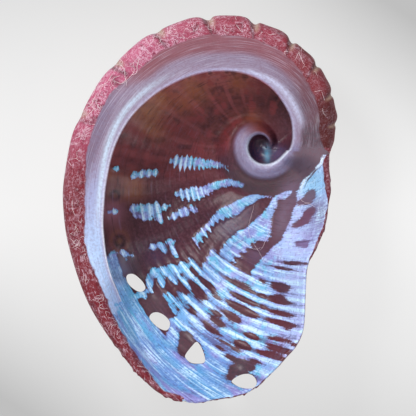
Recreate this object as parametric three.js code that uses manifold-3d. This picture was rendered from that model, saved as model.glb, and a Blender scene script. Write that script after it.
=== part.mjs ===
// Abalone shell: one piece, a low spiral that opens into a wide ear-shaped bowl.
//
// It lies on its back, mouth up: +Z points out of the mouth, +Y runs towards the spire end
// of the long axis, +X towards the spire side. The origin is under the middle of the shell,
// on the surface it rests on. Everything is in millimetres.
//
// Plan shape: all growth turns about the coil axis. U is the angle clockwise from +X seen
// from above, in degrees, and it grows towards older shell, so U and U + 360 are one whorl
// apart. Tables of the outline and of the shelf's free edge are radii about the coil axis.
import * as THREE from "three";
import Module from "manifold-3d";

// ---- driving dimensions ---------------------------------------------------------------
const LENGTH = 60.0; // longest extent of the shell
const UNITS = 389.0; // the tables' units over that length
const S = LENGTH / UNITS; // one table unit in mm
const GROWTH = 0.333; // log-spiral rate, per radian
const START = 6.5; // angle where the outer lip leaves the spire, degrees
const FLOOR_WALL = 9.5; // wall thickness under the bowl, table units
const SIDE_WALL = 11; // wall thickness at the rounded side under the shelf
const DOME = { x: -70, y: -62, power: 2.35 }; // deepest point, from the coil axis
const FOLD = 2.6; // height of the growth folds at 150 units from the axis
const RIM_Z = 98; // height of the mouth's rim above the back, table units
const MIDDLE = { x: -65.5, y: -61.5 }; // middle of the plan, from the coil axis
const LEVEL = [0.0012, -0.0512]; // rise per mm along X and Y that sets the back level
const REST_CUT = 0.07; // depth worn flat where the back touches, mm

// grid
const COLUMNS = 88,
  FLOOR_ROWS = 22,
  COIL_ROWS = 5,
  RIM_ROWS = 6,
  BACK_ROWS = 15;

// ---- tables: [angle, value] -----------------------------------------------------------
const OUTLINE = [
  [0, 66.5], [6, 64.8], [12, 65.8], [18, 67.8], [24, 71.5], [30, 75.8], [36, 80.8], [42, 85.5], [48, 92.8], [54, 101],
  [60, 108.8], [66, 117.5], [69, 122.5], [72, 134], [75, 156], [78, 185], [81, 200.5], [84, 210], [87, 221], [90, 232],
  [93, 243], [96, 250], [99, 254.5], [102, 259], [105, 264.5], [108, 267], [111, 268.5], [114, 267.5], [117, 263.5], [120, 259],
  [126, 250], [132, 242.5], [138, 236], [144, 229], [150, 222.5], [156, 217.3], [162, 211.8], [168, 206.8], [174, 200.8], [180, 195.8],
  [186, 190.5], [192, 185.5], [198, 181], [204, 176], [210, 171.5], [216, 167.5], [222, 163], [228, 158.5], [234, 154], [240, 149],
  [246, 143.5], [252, 139.5], [258, 134.5], [264, 129], [270, 123.5], [276, 119], [282, 113.5], [288, 108.5], [294, 104], [300, 100],
  [306, 96.5], [312, 92], [318, 88], [324, 84.5], [330, 81], [336, 78], [342, 74.5], [348, 71.5], [354, 69.5], [360, 66.5],
];
const SHELF_EDGE = [
  [128, 217], [132, 210.5], [136, 204.5], [140, 199.5], [145, 192.5], [150, 184.8], [155, 178], [160, 170.8], [165, 164.8],
  [170, 159.2], [175, 154.6], [180, 150], [185, 145], [190, 139.8], [195, 134.3], [200, 128.3], [205, 122.6], [210, 117],
  [215, 111.4], [220, 106.3], [225, 101.6], [230, 97], [235, 92.5], [240, 88], [245, 84], [250, 80], [255, 76], [260, 72],
  [265, 68], [270, 64], [275, 60.2], [280, 56.2], [285, 52.5], [290, 49], [295, 46], [300, 43.3], [305, 41], [310, 38.7],
  [315, 36.4], [320, 34.3], [325, 32.4], [330, 30.7], [335, 29.3], [340, 28.2], [350, 26], [360, 24], [370, 22.3], [380, 20.2],
  [390, 19.1], [400, 18.3], [420, 17.4], [440, 17], [460, 17], [480, 17.2], [500, 17.4], [520, 17.6], [540, 17.9], [560, 18.1],
  [580, 17.8], [600, 16.5], [620, 14], [640, 11], [660, 8.2], [680, 6], [700, 4.6], [730, 3.4],
];
const SHELF_Z = [
  [128, 66], [136, 78], [145, 86], [160, 90.5], [180, 90], [210, 88], [240, 85], [270, 80], [300, 73], [330, 65], [360, 57],
  [390, 49.5], [420, 43], [450, 39], [480, 37], [510, 35.5], [540, 34], [570, 32.5], [600, 30.5], [640, 27.5], [680, 25], [730, 22.5],
];
const SIDE_Z = [
  [6.5, 78], [12, 82], [20, 87], [30, 91], [45, 94], [60, 95.5], [80, 96.5], [100, 96.5], [110, 94.5], [120, 91], [130, 87],
  [150, 83], [180, 81], [210, 80], [240, 80], [270, 79], [300, 78], [330, 77], [350, 76.5], [366.5, 78],
];
const TOP_Z = [
  [6.5, 84], [12, 86], [20, 90], [30, 94], [45, 96.5], [60, 98], [80, 99], [100, 99], [110, 98.5], [120, 98], [130, 97],
  [150, 96.5], [180, 97], [210, RIM_Z], [240, RIM_Z], [270, 97], [300, 95], [330, 91.5], [350, 87], [366.5, 84],
];
const ROUND = [
  [6.5, 6], [12, 4.5], [20, 3], [30, 2.4], [60, 2.2], [100, 2.2], [110, 3.5], [120, 6], [130, 9], [150, 10], [180, 10], [330, 10], [350, 8], [366.5, 6],
];
const RIM_WIDTH = [
  [6.5, 9], [30, 10], [60, 10], [90, 11], [105, 14], [115, 20], [122, 25], [128, 31],
]; // from the outline in to the rim line, where there is no shelf
const NEAR_EDGE_WALL = [
  [6.5, 10], [14, 7], [24, 4.5], [40, 3.6], [95, 3.6], [108, 5], [118, 8], [130, SIDE_WALL], [330, SIDE_WALL], [350, 10.5], [366.5, 10],
];
const STEEP = [
  [6.5, 0.99], [20, 0.965], [40, 0.945], [100, 0.945], [112, 0.97], [125, 1], [345, 1], [366.5, 0.99],
];
// breathing holes: plan centre from the coil axis, half lengths, turn of the long axis
const HOLES = [
  { x: -129.7, y: -134.7, a: 10.2, b: 6.9, turn: -40 },
  { x: -105.7, y: -173.0, a: 10.5, b: 7.3, turn: -37 },
  { x: -70.1, y: -206.0, a: 10.2, b: 8.2, turn: -45 },
  { x: -20.6, y: -233.2, a: 11.8, b: 7.0, turn: -7 },
];
const HOLE_LINE = 6.0; // the row's place across the whorl, as ln r + GROWTH U

// ---- small tools ----------------------------------------------------------------------
const RAD = Math.PI / 180;
const clamp = (x, a, b) => Math.min(b, Math.max(a, x));
const mix = (a, b, t) => a + (b - a) * t;
const smooth = (a, b, x) => {
  const t = clamp((x - a) / (b - a), 0, 1);
  return t * t * (3 - 2 * t);
};
// smooth curve through a table (a cubic with Catmull-Rom slopes)
function curve(table, x) {
  const n = table.length;
  if (x <= table[0][0]) return table[0][1];
  if (x >= table[n - 1][0]) return table[n - 1][1];
  let k = 0;
  while (table[k + 1][0] < x) k++;
  const slope = (i) => {
    const a = Math.max(0, i - 1),
      b = Math.min(n - 1, i + 1);
    return (table[b][1] - table[a][1]) / (table[b][0] - table[a][0]);
  };
  const [x0, y0] = table[k],
    [x1, y1] = table[k + 1],
    h = x1 - x0,
    t = (x - x0) / h,
    t2 = t * t,
    t3 = t2 * t;
  return (
    (2 * t3 - 3 * t2 + 1) * y0 + (t3 - 2 * t2 + t) * h * slope(k) +
    (-2 * t3 + 3 * t2) * y1 + (t3 - t2) * h * slope(k + 1)
  );
}
const turnOf = (U) => START + ((((U - START) % 360) + 360) % 360); // into [START, START + 360)
const outline = (U) => curve(OUTLINE, ((U % 360) + 360) % 360);
const shelfEdge = (U) => (U >= 128 ? curve(SHELF_EDGE, U) : outline(U) - curve(RIM_WIDTH, U));
const smax = (a, b, k) => {
  // smooth greater-of-two
  const h = clamp(0.5 + (0.5 * (a - b)) / k, 0, 1);
  return mix(b, a, h) + k * h * (1 - h);
};

// ---- the dome: the bowl's outer and inner surface as heights over the plan ------------
// The outline seen from the deepest point, so that s runs from 0 there to 1 at the side.
const RING = [];
for (let i = 0; i < 720; i++) {
  const U = START + i / 2,
    r = outline(U),
    x = r * Math.cos(U * RAD) - DOME.x,
    y = -r * Math.sin(U * RAD) - DOME.y;
  RING.push([Math.atan2(-y, x) / RAD, Math.hypot(x, y), U]);
}
RING.sort((a, b) => a[0] - b[0]);
function around(x, y) {
  const dx = x - DOME.x,
    dy = y - DOME.y,
    b = Math.atan2(-dy, dx) / RAD,
    n = RING.length;
  let lo = 0,
    hi = n - 1;
  if (b < RING[0][0] || b >= RING[n - 1][0]) {
    lo = n - 1;
    hi = 0;
  } else
    while (hi - lo > 1) {
      const m = (lo + hi) >> 1;
      if (RING[m][0] <= b) lo = m;
      else hi = m;
    }
  const A = RING[lo],
    B = RING[hi],
    span = (B[0] - A[0] + 360) % 360,
    t = span > 1e-9 ? ((b - A[0] + 360) % 360) / span : 0;
  let dU = B[2] - A[2];
  if (dU > 180) dU -= 360;
  if (dU < -180) dU += 360;
  return { d: Math.hypot(dx, dy), R: mix(A[1], B[1], t), U: turnOf(A[2] + dU * t) };
}
const bowl = (s, steep) => {
  const g = (q) => 1 - Math.sqrt(Math.max(0, 1 - Math.pow(clamp(q, 0, 1), DOME.power)));
  return g(steep * s) / g(steep);
};
function backZ(x, y) {
  const { d, R, U } = around(x, y);
  return curve(SIDE_Z, U) * bowl(Math.min(1, d / R), curve(STEEP, U));
}
function floorZ(x, y) {
  const { d, R, U } = around(x, y),
    wall = curve(NEAR_EDGE_WALL, U),
    side = smooth(112, 140, U) * (1 - smooth(345, 366, U)),
    top = mix(curve(TOP_Z, U), 72, side);
  return FLOOR_WALL + (top - FLOOR_WALL) * bowl(Math.min(1, d / (R - wall)), curve(STEEP, U));
}

// ---- relief ---------------------------------------------------------------------------
// Growth folds: ridges that cross the whorl along old positions of the lip.
const FOLD_LINE = [
  [3.6, 20], [4.1, 37], [4.3, 51], [4.5, 61], [4.7, 69.5], [5.0, 80.5], [5.2, 88], [5.4, 94], [5.7, 97.5], [6.0, 103], [6.3, 108],
]; // the first fold's valley, angle by place across the whorl
const FOLD_STEP = 22.4;
function folds(r, U) {
  const c = Math.log(Math.max(r, 1)) + GROWTH * U * RAD,
    q = (U - curve(FOLD_LINE, c)) / FOLD_STEP,
    t = q - Math.floor(q); // 0 just past a valley; older shell is up
  // from a valley up gently to the crest, then steeply down to the next valley
  const h = t < 0.62 ? 0.5 - 0.5 * Math.cos((Math.PI * t) / 0.62) : 0.5 + 0.5 * Math.cos((Math.PI * (t - 0.62)) / 0.38);
  const here = smooth(4.1, 4.6, c) * smooth(34, 60, r) * (1 - 0.75 * smooth(170, 215, U));
  return -FOLD * (h - 0.5) * 2 * (r / 150) * here;
}
function dimples(x, y) {
  let z = 0;
  for (const h of HOLES) z -= 3.2 * Math.exp(-((x - h.x + 3) ** 2 + (y - h.y - 6) ** 2) / 190);
  return z;
}
function tubercles(x, y) {
  let z = 0;
  for (const h of HOLES) z -= 6.5 * Math.exp(-(((x - h.x) ** 2 + (y - h.y) ** 2) / 230));
  return z;
}
// The older whorls stand proud of the back as a low coil.
function coil(r, U) {
  let z = 0;
  const seam = (V) => 65 * Math.exp(-GROWTH * (V - 366.5) * RAD);
  const T = turnOf(U);
  for (let n = 1; n <= 2; n++) {
    const outer = seam(T + 360 * n),
      inner = seam(T + 360 * (n + 1));
    if (r < outer && r > inner) {
      const t = (r - inner) / (outer - inner);
      z = -0.05 * outer * Math.pow(Math.sin(Math.PI * Math.pow(t, 1.5)), 0.7) - 2 * (1 - smooth(8, 60, outer));
    }
  }
  if (r <= seam(T + 1080)) z = -2.5;
  return z - 4 * (1 - smooth(12, 62, r));
}

// ---- cross-sections: each returns a list of [U, r, z] from the inside out -------------
// the rim line: the shelf's free edge, or the inner border of the outer lip
function rimLine(U) {
  if (U >= 128) return [U, shelfEdge(U)];
  const R = outline(U), x = R * Math.cos(U * RAD), y = -R * Math.sin(U * RAD), w = curve(RIM_WIDTH, U), turn = smooth(START, START + 24, U) * (1 - smooth(104, 128, U));
  let dx = mix(-x / R, (DOME.x - x) / Math.hypot(DOME.x - x, DOME.y - y), turn), dy = mix(-y / R, (DOME.y - y) / Math.hypot(DOME.x - x, DOME.y - y), turn);
  const n = Math.hypot(dx, dy), px = x + (w * dx) / n, py = y + (w * dy) / n;
  return [Math.atan2(-py, px) / RAD, Math.hypot(px, py)];
}
function rimPoint(U, r) {
  const x = r * Math.cos(U * RAD), y = -r * Math.sin(U * RAD);
  return floorZ(x, y) + folds(r, U) * (1 - smooth(-16, 0, r - outline(U))) + dimples(x, y);
}
const EDGE_128 = rimPoint(128, shelfEdge(128));
function edgeZ(U) {
  if (U >= 128) return mix(EDGE_128, curve(SHELF_Z, U), smooth(128, 140, U));
  return innerZ(...rimLine(U));
}
// z across the shelf (or the lip's border) at share q of the way from the rim line to the outline
function rimProfile(U, q) {
  const R = outline(U), T = turnOf(U), zt = curve(TOP_Z, T), zo = curve(SIDE_Z, T), w = curve(ROUND, T), z0 = edgeZ(U),
    width = U >= 128 ? R - shelfEdge(U) : curve(RIM_WIDTH, U), qt = 1 - w / width;
  if (q <= qt) return mix(z0, zt, Math.pow(Math.sin(((q / qt) * Math.PI) / 2), mix(1.5, 0.9, smooth(300, 360, U))));
  return zo + (zt - zo) * Math.sqrt(Math.max(0, 1 - ((q - qt) / (1 - qt)) ** 2));
}
// The columella: a rounded bead round the coil's mouth that slopes down to the bowl's floor.
const BEAD = [[0, 0], [3, 1.7], [6, 1.6], [10, -0.8], [13.5, -4.6], [16, -8], [18, -8.8], [22, -12], [30, -22], [40, -36], [60, -70], [300, -500]];
function innerZ(U, r) {
  const r0 = shelfEdge(U + 360), z0 = curve(SHELF_Z, U + 360), d = r - r0, low = smooth(190, 330, U),
    b = curve(BEAD, Math.max(0, d) * mix(1, 1.5, low)),
    bead = z0 + (b > 0 ? b : b * mix(0.16, 1, smooth(15, 135, U)));
  let z = smax(bead, rimPoint(U, r), mix(8, 5, low));
  if (U < START + 34) {
    // where the lip starts it is still the shelf's own surface
    z = mix(rimProfile(START + 360, clamp(d / (outline(U) - r0), 0, 1)), z, smooth(START, START + 34, U));
  }
  return z;
}
function floorColumn(A, B, rows) {
  const r0 = shelfEdge(A + 360), [Ue, re] = rimLine(B), R = outline(B), wall = curve(NEAR_EDGE_WALL, turnOf(B)), over = smooth(130, 158, B) * (1 - 0.35 * smooth(300, 366, B)),
    lap = smooth(130, 150, B), ru = mix(re, R - wall - 1, over), under = Math.round(rows * 0.25), flat = rows - under, out = [];
  const path = (t) => {
    const q = mix(t, Math.sin((t * Math.PI) / 2), 0.15), r = mix(r0, ru, q), U = mix(A, Ue, Math.pow(q, 0.8));
    return [U, r, innerZ(U, r)];
  };
  const tf = mix(flat / rows, 1, lap), z1 = edgeZ(B), zu = path(1)[2], th = 4.2 * lap;
  for (let i = 0; i <= flat; i++) out.push(path((tf * i) / flat));
  // round under the shelf and back out to its free edge
  const p0 = [ru, zu], p1 = [ru + 0.6 * over, mix(zu, z1 - th, 0.75)], p2 = [mix(re, ru, 0.55), z1 - th - 0.04 * (ru - re)], p3 = [re + 1.3 * over, z1 - th];
  for (let i = 1; i < under; i++) {
    const u = i / under, k = path(mix(tf, 1, u)), s = i / (under - 1), a = (1 - s) ** 3, b = 3 * s * (1 - s) ** 2, c = 3 * s * s * (1 - s), d = s ** 3;
    out.push([mix(k[0], B, lap), mix(k[1], a * p0[0] + b * p1[0] + c * p2[0] + d * p3[0], lap), mix(k[2], a * p0[1] + b * p1[1] + c * p2[1] + d * p3[1], lap)]);
  }
  out.push([Ue, re, z1]);
  return out;
}
function coilColumn(A, rows) {
  // inside the older whorls: from the axis out to the free edge, one whorl back
  const V = A + 360, r1 = shelfEdge(V), z1 = curve(SHELF_Z, V), out = [], base = mix(24, 19, smooth(366, 500, V));
  for (let i = 0; i <= rows; i++) {
    const t = i / rows, r = r1 * mix(t, Math.sin((t * Math.PI) / 2), 0.5);
    out.push([A, r, base + (z1 - base) * Math.pow(t, 3.2) - 1.5 * Math.sin(Math.PI * t)]);
  }
  return out;
}
function rimColumn(B, rows) {
  const [Ue, re] = rimLine(B), R = outline(B), T = turnOf(B), width = B >= 128 ? R - re : curve(RIM_WIDTH, B), qt = 1 - curve(ROUND, T) / width, out = [], flat = Math.round(rows * 0.5);
  const a = [re * Math.cos(Ue * RAD), -re * Math.sin(Ue * RAD)], b = [R * Math.cos(B * RAD), -R * Math.sin(B * RAD)];
  for (let i = 0; i <= rows; i++) {
    const q = i <= flat ? (qt * i) / flat : qt + (1 - qt) * Math.sin((((i - flat) / (rows - flat)) * Math.PI) / 2), x = mix(a[0], b[0], q), y = mix(a[1], b[1], q);
    out.push([Math.atan2(-y, x) / RAD, Math.hypot(x, y), rimProfile(B, q)]);
  }
  return out;
}
function backColumn(A, B, rows) {
  const R = outline(B), out = [];
  for (let i = 0; i <= rows; i++) {
    const t = i / rows, c = Math.cos((t * Math.PI) / 2), r = R * Math.pow(c, 0.9), U = mix(B, A, Math.pow(1 - c, 0.8)), x = r * Math.cos(U * RAD), y = -r * Math.sin(U * RAD);
    const k = i === 0 ? 0 : smooth(0, 14, outline(U) - r);
    out.push([U, r, backZ(x, y) + k * (folds(r, U) * 1.1 + tubercles(x, y) + coil(r, U))]);
  }
  return out;
}

// ---- mesh -----------------------------------------------------------------------------
// Columns are spread by turn and by length along the outline; each runs from angle A at the
// coil's mouth to angle B at the outline, so that it meets the outline well.
const COLS = [];
{
  const steps = 3600, len = [0];
  for (let i = 1; i <= steps; i++) {
    const a = START + ((i - 1) * 360) / steps, b = START + (i * 360) / steps, ra = outline(a), rb = outline(b);
    len.push(len[i - 1] + 0.35 + 0.9 * smooth(124, 132, b) * (1 - smooth(148, 158, b)) + (0.65 * Math.hypot(ra * Math.cos(a * RAD) - rb * Math.cos(b * RAD), ra * Math.sin(a * RAD) - rb * Math.sin(b * RAD)) * steps) / 1120);
  }
  let k = 0;
  for (let j = 0; j < COLUMNS; j++) {
    const want = (len[steps] * j) / COLUMNS;
    while (len[k + 1] < want) k++;
    const B = START + ((k + (want - len[k]) / (len[k + 1] - len[k])) * 360) / steps;
    COLS.push([mix(B, START + (360 * j) / COLUMNS, 0.6), B]);
  }
}
const verts = [], tris = [];
const put = ([U, r, z]) => verts.push([r * Math.cos(U * RAD), -r * Math.sin(U * RAD), z]) - 1;
const axisTop = put(coilColumn(40, COIL_ROWS)[0]);
const axisBack = put([0, 0, backColumn(0, 0, BACK_ROWS)[BACK_ROWS][2]]);
const F = [], C = [], K = [], B = [];
for (const [a, b] of COLS) {
  const f = floorColumn(a, b, FLOOR_ROWS).map(put);
  F.push(f);
  C.push([axisTop, ...coilColumn(a, COIL_ROWS).slice(1, COIL_ROWS).map(put), f[0]]);
  const k = rimColumn(b, RIM_ROWS).slice(1).map(put);
  K.push([f[FLOOR_ROWS], ...k]);
  B.push([k[RIM_ROWS - 1], ...backColumn(a, b, BACK_ROWS).slice(1, BACK_ROWS).map(put), axisBack]);
}
const tri = (a, b, c) => {
  if (a !== b && b !== c && a !== c) tris.push(a, b, c);
};
const far = (a, b) => Math.hypot(...[0, 1, 2].map((k) => verts[a][k] - verts[b][k]));
const quads = (p, q) => {
  for (let i = 0; i + 1 < p.length; i++)
    if (far(p[i], q[i + 1]) <= far(q[i], p[i + 1])) {
      tri(p[i], q[i], q[i + 1]);
      tri(p[i], q[i + 1], p[i + 1]);
    } else {
      tri(p[i], q[i], p[i + 1]);
      tri(q[i], q[i + 1], p[i + 1]);
    }
};
for (let j = 0; j + 1 < COLUMNS; j++) for (const G of [C, F, K, B]) quads(G[j], G[j + 1]);
quads(B[COLUMNS - 1], B[0]);
// the two joins where the spiral meets itself, with unequal rows on each side
function zip(p, q) {
  let a = 0, b = 0;
  while (a < p.length - 1 || b < q.length - 1) {
    if (b < q.length - 1 && (a === p.length - 1 || far(p[a], q[b + 1]) <= far(p[a + 1], q[b]))) tri(p[a], q[b], q[++b]);
    else tri(p[a], q[b], p[++a]);
  }
}
const last = COLUMNS - 1;
zip([...C[last], ...F[last].slice(1)], C[0]);
zip(K[last], [...F[0], ...K[0].slice(1)]);

// ---- solids ---------------------------------------------------------------------------
const wasm = await Module();
wasm.setup();
function solid(points, faces) {
  return new wasm.Manifold(new wasm.Mesh({ numProp: 3, vertProperties: new Float32Array(points.flat()), triVerts: new Uint32Array(faces) }));
}
let shell = solid(verts.map(([x, y, z]) => [(x - MIDDLE.x) * S, (y - MIDDLE.y) * S, z * S]), tris);
// a closed three.js geometry as a solid
function fromGeometry(g) {
  const { position } = g.attributes, seen = new Map(), points = [], faces = [];
  const index = g.index ? Array.from(g.index.array) : Array.from({ length: position.count }, (_, i) => i);
  for (const i of index) {
    const p = [position.getX(i), position.getY(i), position.getZ(i)], key = p.map((v) => v.toFixed(5)).join();
    if (!seen.has(key)) seen.set(key, points.push(p) - 1);
    faces.push(seen.get(key));
  }
  const kept = [];
  for (let i = 0; i < faces.length; i += 3)
    if (faces[i] !== faces[i + 1] && faces[i + 1] !== faces[i + 2] && faces[i] !== faces[i + 2]) kept.push(faces[i], faces[i + 1], faces[i + 2]);
  return solid(points, kept);
}
for (const h of HOLES) {
  const g = new THREE.CylinderGeometry(1, 1, 1, 16);
  g.rotateX(Math.PI / 2);
  g.scale(h.a * S, h.b * S, 60 * S);
  g.rotateZ(h.turn * RAD);
  const z = backZ(h.x, h.y);
  g.translate((h.x - MIDDLE.x) * S, (h.y - MIDDLE.y) * S, z * S);
  shell = shell.subtract(fromGeometry(g));
}
// set level on the surface, and wear the touching points flat
const mesh0 = shell.getMesh();
const pts = [];
for (let i = 0; i < mesh0.numVert; i++) {
  const [x, y, z] = mesh0.vertProperties.subarray(i * mesh0.numProp, i * mesh0.numProp + 3);
  pts.push([x, y, z + LEVEL[0] * x + LEVEL[1] * y]);
}
const low = Math.min(...pts.map((p) => p[2])) + REST_CUT;
shell = solid(pts.map(([x, y, z]) => [x, y, z - low]), Array.from(mesh0.triVerts));
const under = new THREE.BoxGeometry(200, 200, 20);
under.translate(0, 0, -10);
shell = shell.subtract(fromGeometry(under));
const bounds = shell.boundingBox();
const mid = [(bounds.min[0] + bounds.max[0]) / 2, (bounds.min[1] + bounds.max[1]) / 2];

const out = shell.getMesh();
const position = new Float32Array(out.numVert * 3);
for (let i = 0; i < out.numVert; i++) {
  position[i * 3] = out.vertProperties[i * out.numProp] - mid[0];
  position[i * 3 + 1] = out.vertProperties[i * out.numProp + 1] - mid[1];
  position[i * 3 + 2] = out.vertProperties[i * out.numProp + 2];
}
const geometry = new THREE.BufferGeometry();
geometry.setAttribute("position", new THREE.BufferAttribute(position, 3));
geometry.setIndex(new THREE.BufferAttribute(new Uint32Array(out.triVerts), 1));
geometry.computeVertexNormals();

const nacre = new THREE.MeshStandardMaterial({ color: 0x6f5a78, roughness: 0.25, metalness: 0.1 });
const body = new THREE.Mesh(geometry, nacre);
body.name = "shell";

const group = new THREE.Group();
group.add(body);
export default group;
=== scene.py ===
import math

import bpy
import numpy as np
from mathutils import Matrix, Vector
from mathutils.bvhtree import BVHTree
from mathutils.kdtree import KDTree


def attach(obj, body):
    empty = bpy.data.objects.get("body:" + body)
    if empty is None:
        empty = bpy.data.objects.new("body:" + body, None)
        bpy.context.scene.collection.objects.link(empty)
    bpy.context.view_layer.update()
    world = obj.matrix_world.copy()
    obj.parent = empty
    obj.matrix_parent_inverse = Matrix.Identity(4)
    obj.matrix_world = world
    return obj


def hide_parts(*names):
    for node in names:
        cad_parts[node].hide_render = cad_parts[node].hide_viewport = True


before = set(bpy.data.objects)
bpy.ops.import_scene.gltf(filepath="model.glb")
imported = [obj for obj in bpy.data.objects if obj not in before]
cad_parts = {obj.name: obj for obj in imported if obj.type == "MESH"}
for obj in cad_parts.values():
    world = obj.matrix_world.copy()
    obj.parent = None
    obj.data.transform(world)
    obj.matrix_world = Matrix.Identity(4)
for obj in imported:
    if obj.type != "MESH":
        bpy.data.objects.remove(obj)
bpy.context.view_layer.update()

# ---- the shell's own plan: the CAD part's tables, in units of 60/389 mm -------------------
S = 60.0 / 389.0
K_GROW = 0.333
START = 6.5
FLOOR_WALL = 9.5
SIDE_WALL = 11.0
DOME = (-70.0, -62.0)
POWER = 2.35
FOLD = 2.6
MIDDLE = (-65.5, -61.5)
LEVEL = (0.0012, -0.0512)
LOW = -0.27547
MID = (-0.01455, 0.01023)
RAD = math.pi / 180

OUTLINE = [(0, 66.5), (6, 64.8), (12, 65.8), (18, 67.8), (24, 71.5), (30, 75.8), (36, 80.8), (42, 85.5), (48, 92.8), (54, 101),
           (60, 108.8), (66, 117.5), (69, 122.5), (72, 134), (75, 156), (78, 185), (81, 200.5), (84, 210), (87, 221), (90, 232),
           (93, 243), (96, 250), (99, 254.5), (102, 259), (105, 264.5), (108, 267), (111, 268.5), (114, 267.5), (117, 263.5), (120, 259),
           (126, 250), (132, 242.5), (138, 236), (144, 229), (150, 222.5), (156, 217.3), (162, 211.8), (168, 206.8), (174, 200.8), (180, 195.8),
           (186, 190.5), (192, 185.5), (198, 181), (204, 176), (210, 171.5), (216, 167.5), (222, 163), (228, 158.5), (234, 154), (240, 149),
           (246, 143.5), (252, 139.5), (258, 134.5), (264, 129), (270, 123.5), (276, 119), (282, 113.5), (288, 108.5), (294, 104), (300, 100),
           (306, 96.5), (312, 92), (318, 88), (324, 84.5), (330, 81), (336, 78), (342, 74.5), (348, 71.5), (354, 69.5), (360, 66.5)]
SHELF_EDGE = [(128, 217), (132, 210.5), (136, 204.5), (140, 199.5), (145, 192.5), (150, 184.8), (155, 178), (160, 170.8), (165, 164.8),
              (170, 159.2), (175, 154.6), (180, 150), (185, 145), (190, 139.8), (195, 134.3), (200, 128.3), (205, 122.6), (210, 117),
              (215, 111.4), (220, 106.3), (225, 101.6), (230, 97), (235, 92.5), (240, 88), (245, 84), (250, 80), (255, 76), (260, 72),
              (265, 68), (270, 64), (275, 60.2), (280, 56.2), (285, 52.5), (290, 49), (295, 46), (300, 43.3), (305, 41), (310, 38.7),
              (315, 36.4), (320, 34.3), (325, 32.4), (330, 30.7), (335, 29.3), (340, 28.2), (350, 26), (360, 24), (370, 22.3), (380, 20.2),
              (390, 19.1), (400, 18.3), (420, 17.4), (440, 17), (460, 17), (480, 17.2), (500, 17.4), (520, 17.6), (540, 17.9), (560, 18.1),
              (580, 17.8), (600, 16.5), (620, 14), (640, 11), (660, 8.2), (680, 6), (700, 4.6), (730, 3.4)]
SHELF_Z = [(128, 66), (136, 78), (145, 86), (160, 90.5), (180, 90), (210, 88), (240, 85), (270, 80), (300, 73), (330, 65), (360, 57),
           (390, 49.5), (420, 43), (450, 39), (480, 37), (510, 35.5), (540, 34), (570, 32.5), (600, 30.5), (640, 27.5), (680, 25), (730, 22.5)]
SIDE_Z = [(6.5, 78), (12, 82), (20, 87), (30, 91), (45, 94), (60, 95.5), (80, 96.5), (100, 96.5), (110, 94.5), (120, 91), (130, 87),
          (150, 83), (180, 81), (210, 80), (240, 80), (270, 79), (300, 78), (330, 77), (350, 76.5), (366.5, 78)]
TOP_Z = [(6.5, 84), (12, 86), (20, 90), (30, 94), (45, 96.5), (60, 98), (80, 99), (100, 99), (110, 98.5), (120, 98), (130, 97),
         (150, 96.5), (180, 97), (210, 98), (240, 98), (270, 97), (300, 95), (330, 91.5), (350, 87), (366.5, 84)]
ROUND = [(6.5, 6), (12, 4.5), (20, 3), (30, 2.4), (60, 2.2), (100, 2.2), (110, 3.5), (120, 6), (130, 9), (150, 10), (180, 10), (330, 10), (350, 8), (366.5, 6)]
RIM_WIDTH = [(6.5, 9), (30, 10), (60, 10), (90, 11), (105, 14), (115, 20), (122, 25), (128, 31)]
NEAR_WALL = [(6.5, 10), (14, 7), (24, 4.5), (40, 3.6), (95, 3.6), (108, 5), (118, 8), (130, SIDE_WALL), (330, SIDE_WALL), (350, 10.5), (366.5, 10)]
STEEP = [(6.5, 0.99), (20, 0.965), (40, 0.945), (100, 0.945), (112, 0.97), (125, 1), (345, 1), (366.5, 0.99)]
FOLD_LINE = [(3.6, 20), (4.1, 37), (4.3, 51), (4.5, 61), (4.7, 69.5), (5.0, 80.5), (5.2, 88), (5.4, 94), (5.7, 97.5), (6.0, 103), (6.3, 108)]
FOLD_STEP = 22.4
BEAD = [(0, 0), (3, 1.7), (6, 1.6), (10, -0.8), (13.5, -4.6), (16, -8), (18, -8.8), (22, -12), (30, -22), (40, -36), (60, -70), (300, -500)]


def clamp(x, a=0.0, b=1.0):
    return np.minimum(b, np.maximum(a, x))


def mix(a, b, t):
    return a + (b - a) * t


def smooth(a, b, x):
    t = clamp((np.asarray(x, float) - a) / (b - a))
    return t * t * (3 - 2 * t)


def curve(table, x):
    """Smooth curve through a table: a cubic with Catmull-Rom slopes."""
    xs = np.array([p[0] for p in table], float)
    ys = np.array([p[1] for p in table], float)
    n = len(xs)
    lo = np.maximum(0, np.arange(n) - 1)
    hi = np.minimum(n - 1, np.arange(n) + 1)
    m = (ys[hi] - ys[lo]) / (xs[hi] - xs[lo])
    x = np.asarray(x, float)
    xc = np.clip(x, xs[0], xs[-1])
    k = np.clip(np.searchsorted(xs, xc, side="left") - 1, 0, n - 2)
    h = xs[k + 1] - xs[k]
    t = (xc - xs[k]) / h
    t2, t3 = t * t, t * t * t
    return (2 * t3 - 3 * t2 + 1) * ys[k] + (t3 - 2 * t2 + t) * h * m[k] + (-2 * t3 + 3 * t2) * ys[k + 1] + (t3 - t2) * h * m[k + 1]


def turn_of(U):
    return START + np.mod(U - START, 360.0)


def outline(U):
    return curve(OUTLINE, np.mod(U, 360.0))


def shelf_edge(U):
    U = np.asarray(U, float)
    return np.where(U >= 128, curve(SHELF_EDGE, U), outline(U) - curve(RIM_WIDTH, U))


def smax(a, b, k):
    h = clamp(0.5 + 0.5 * (a - b) / k)
    return mix(b, a, h) + k * h * (1 - h)


_u = START + np.arange(1440) / 4.0
_r = outline(_u)
_x = _r * np.cos(_u * RAD) - DOME[0]
_y = -_r * np.sin(_u * RAD) - DOME[1]
_b = np.degrees(np.arctan2(-_y, _x))
_o = np.argsort(_b)
RB, RD = _b[_o], np.hypot(_x, _y)[_o]
RU = np.degrees(np.unwrap(np.radians(_u[_o])))


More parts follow.
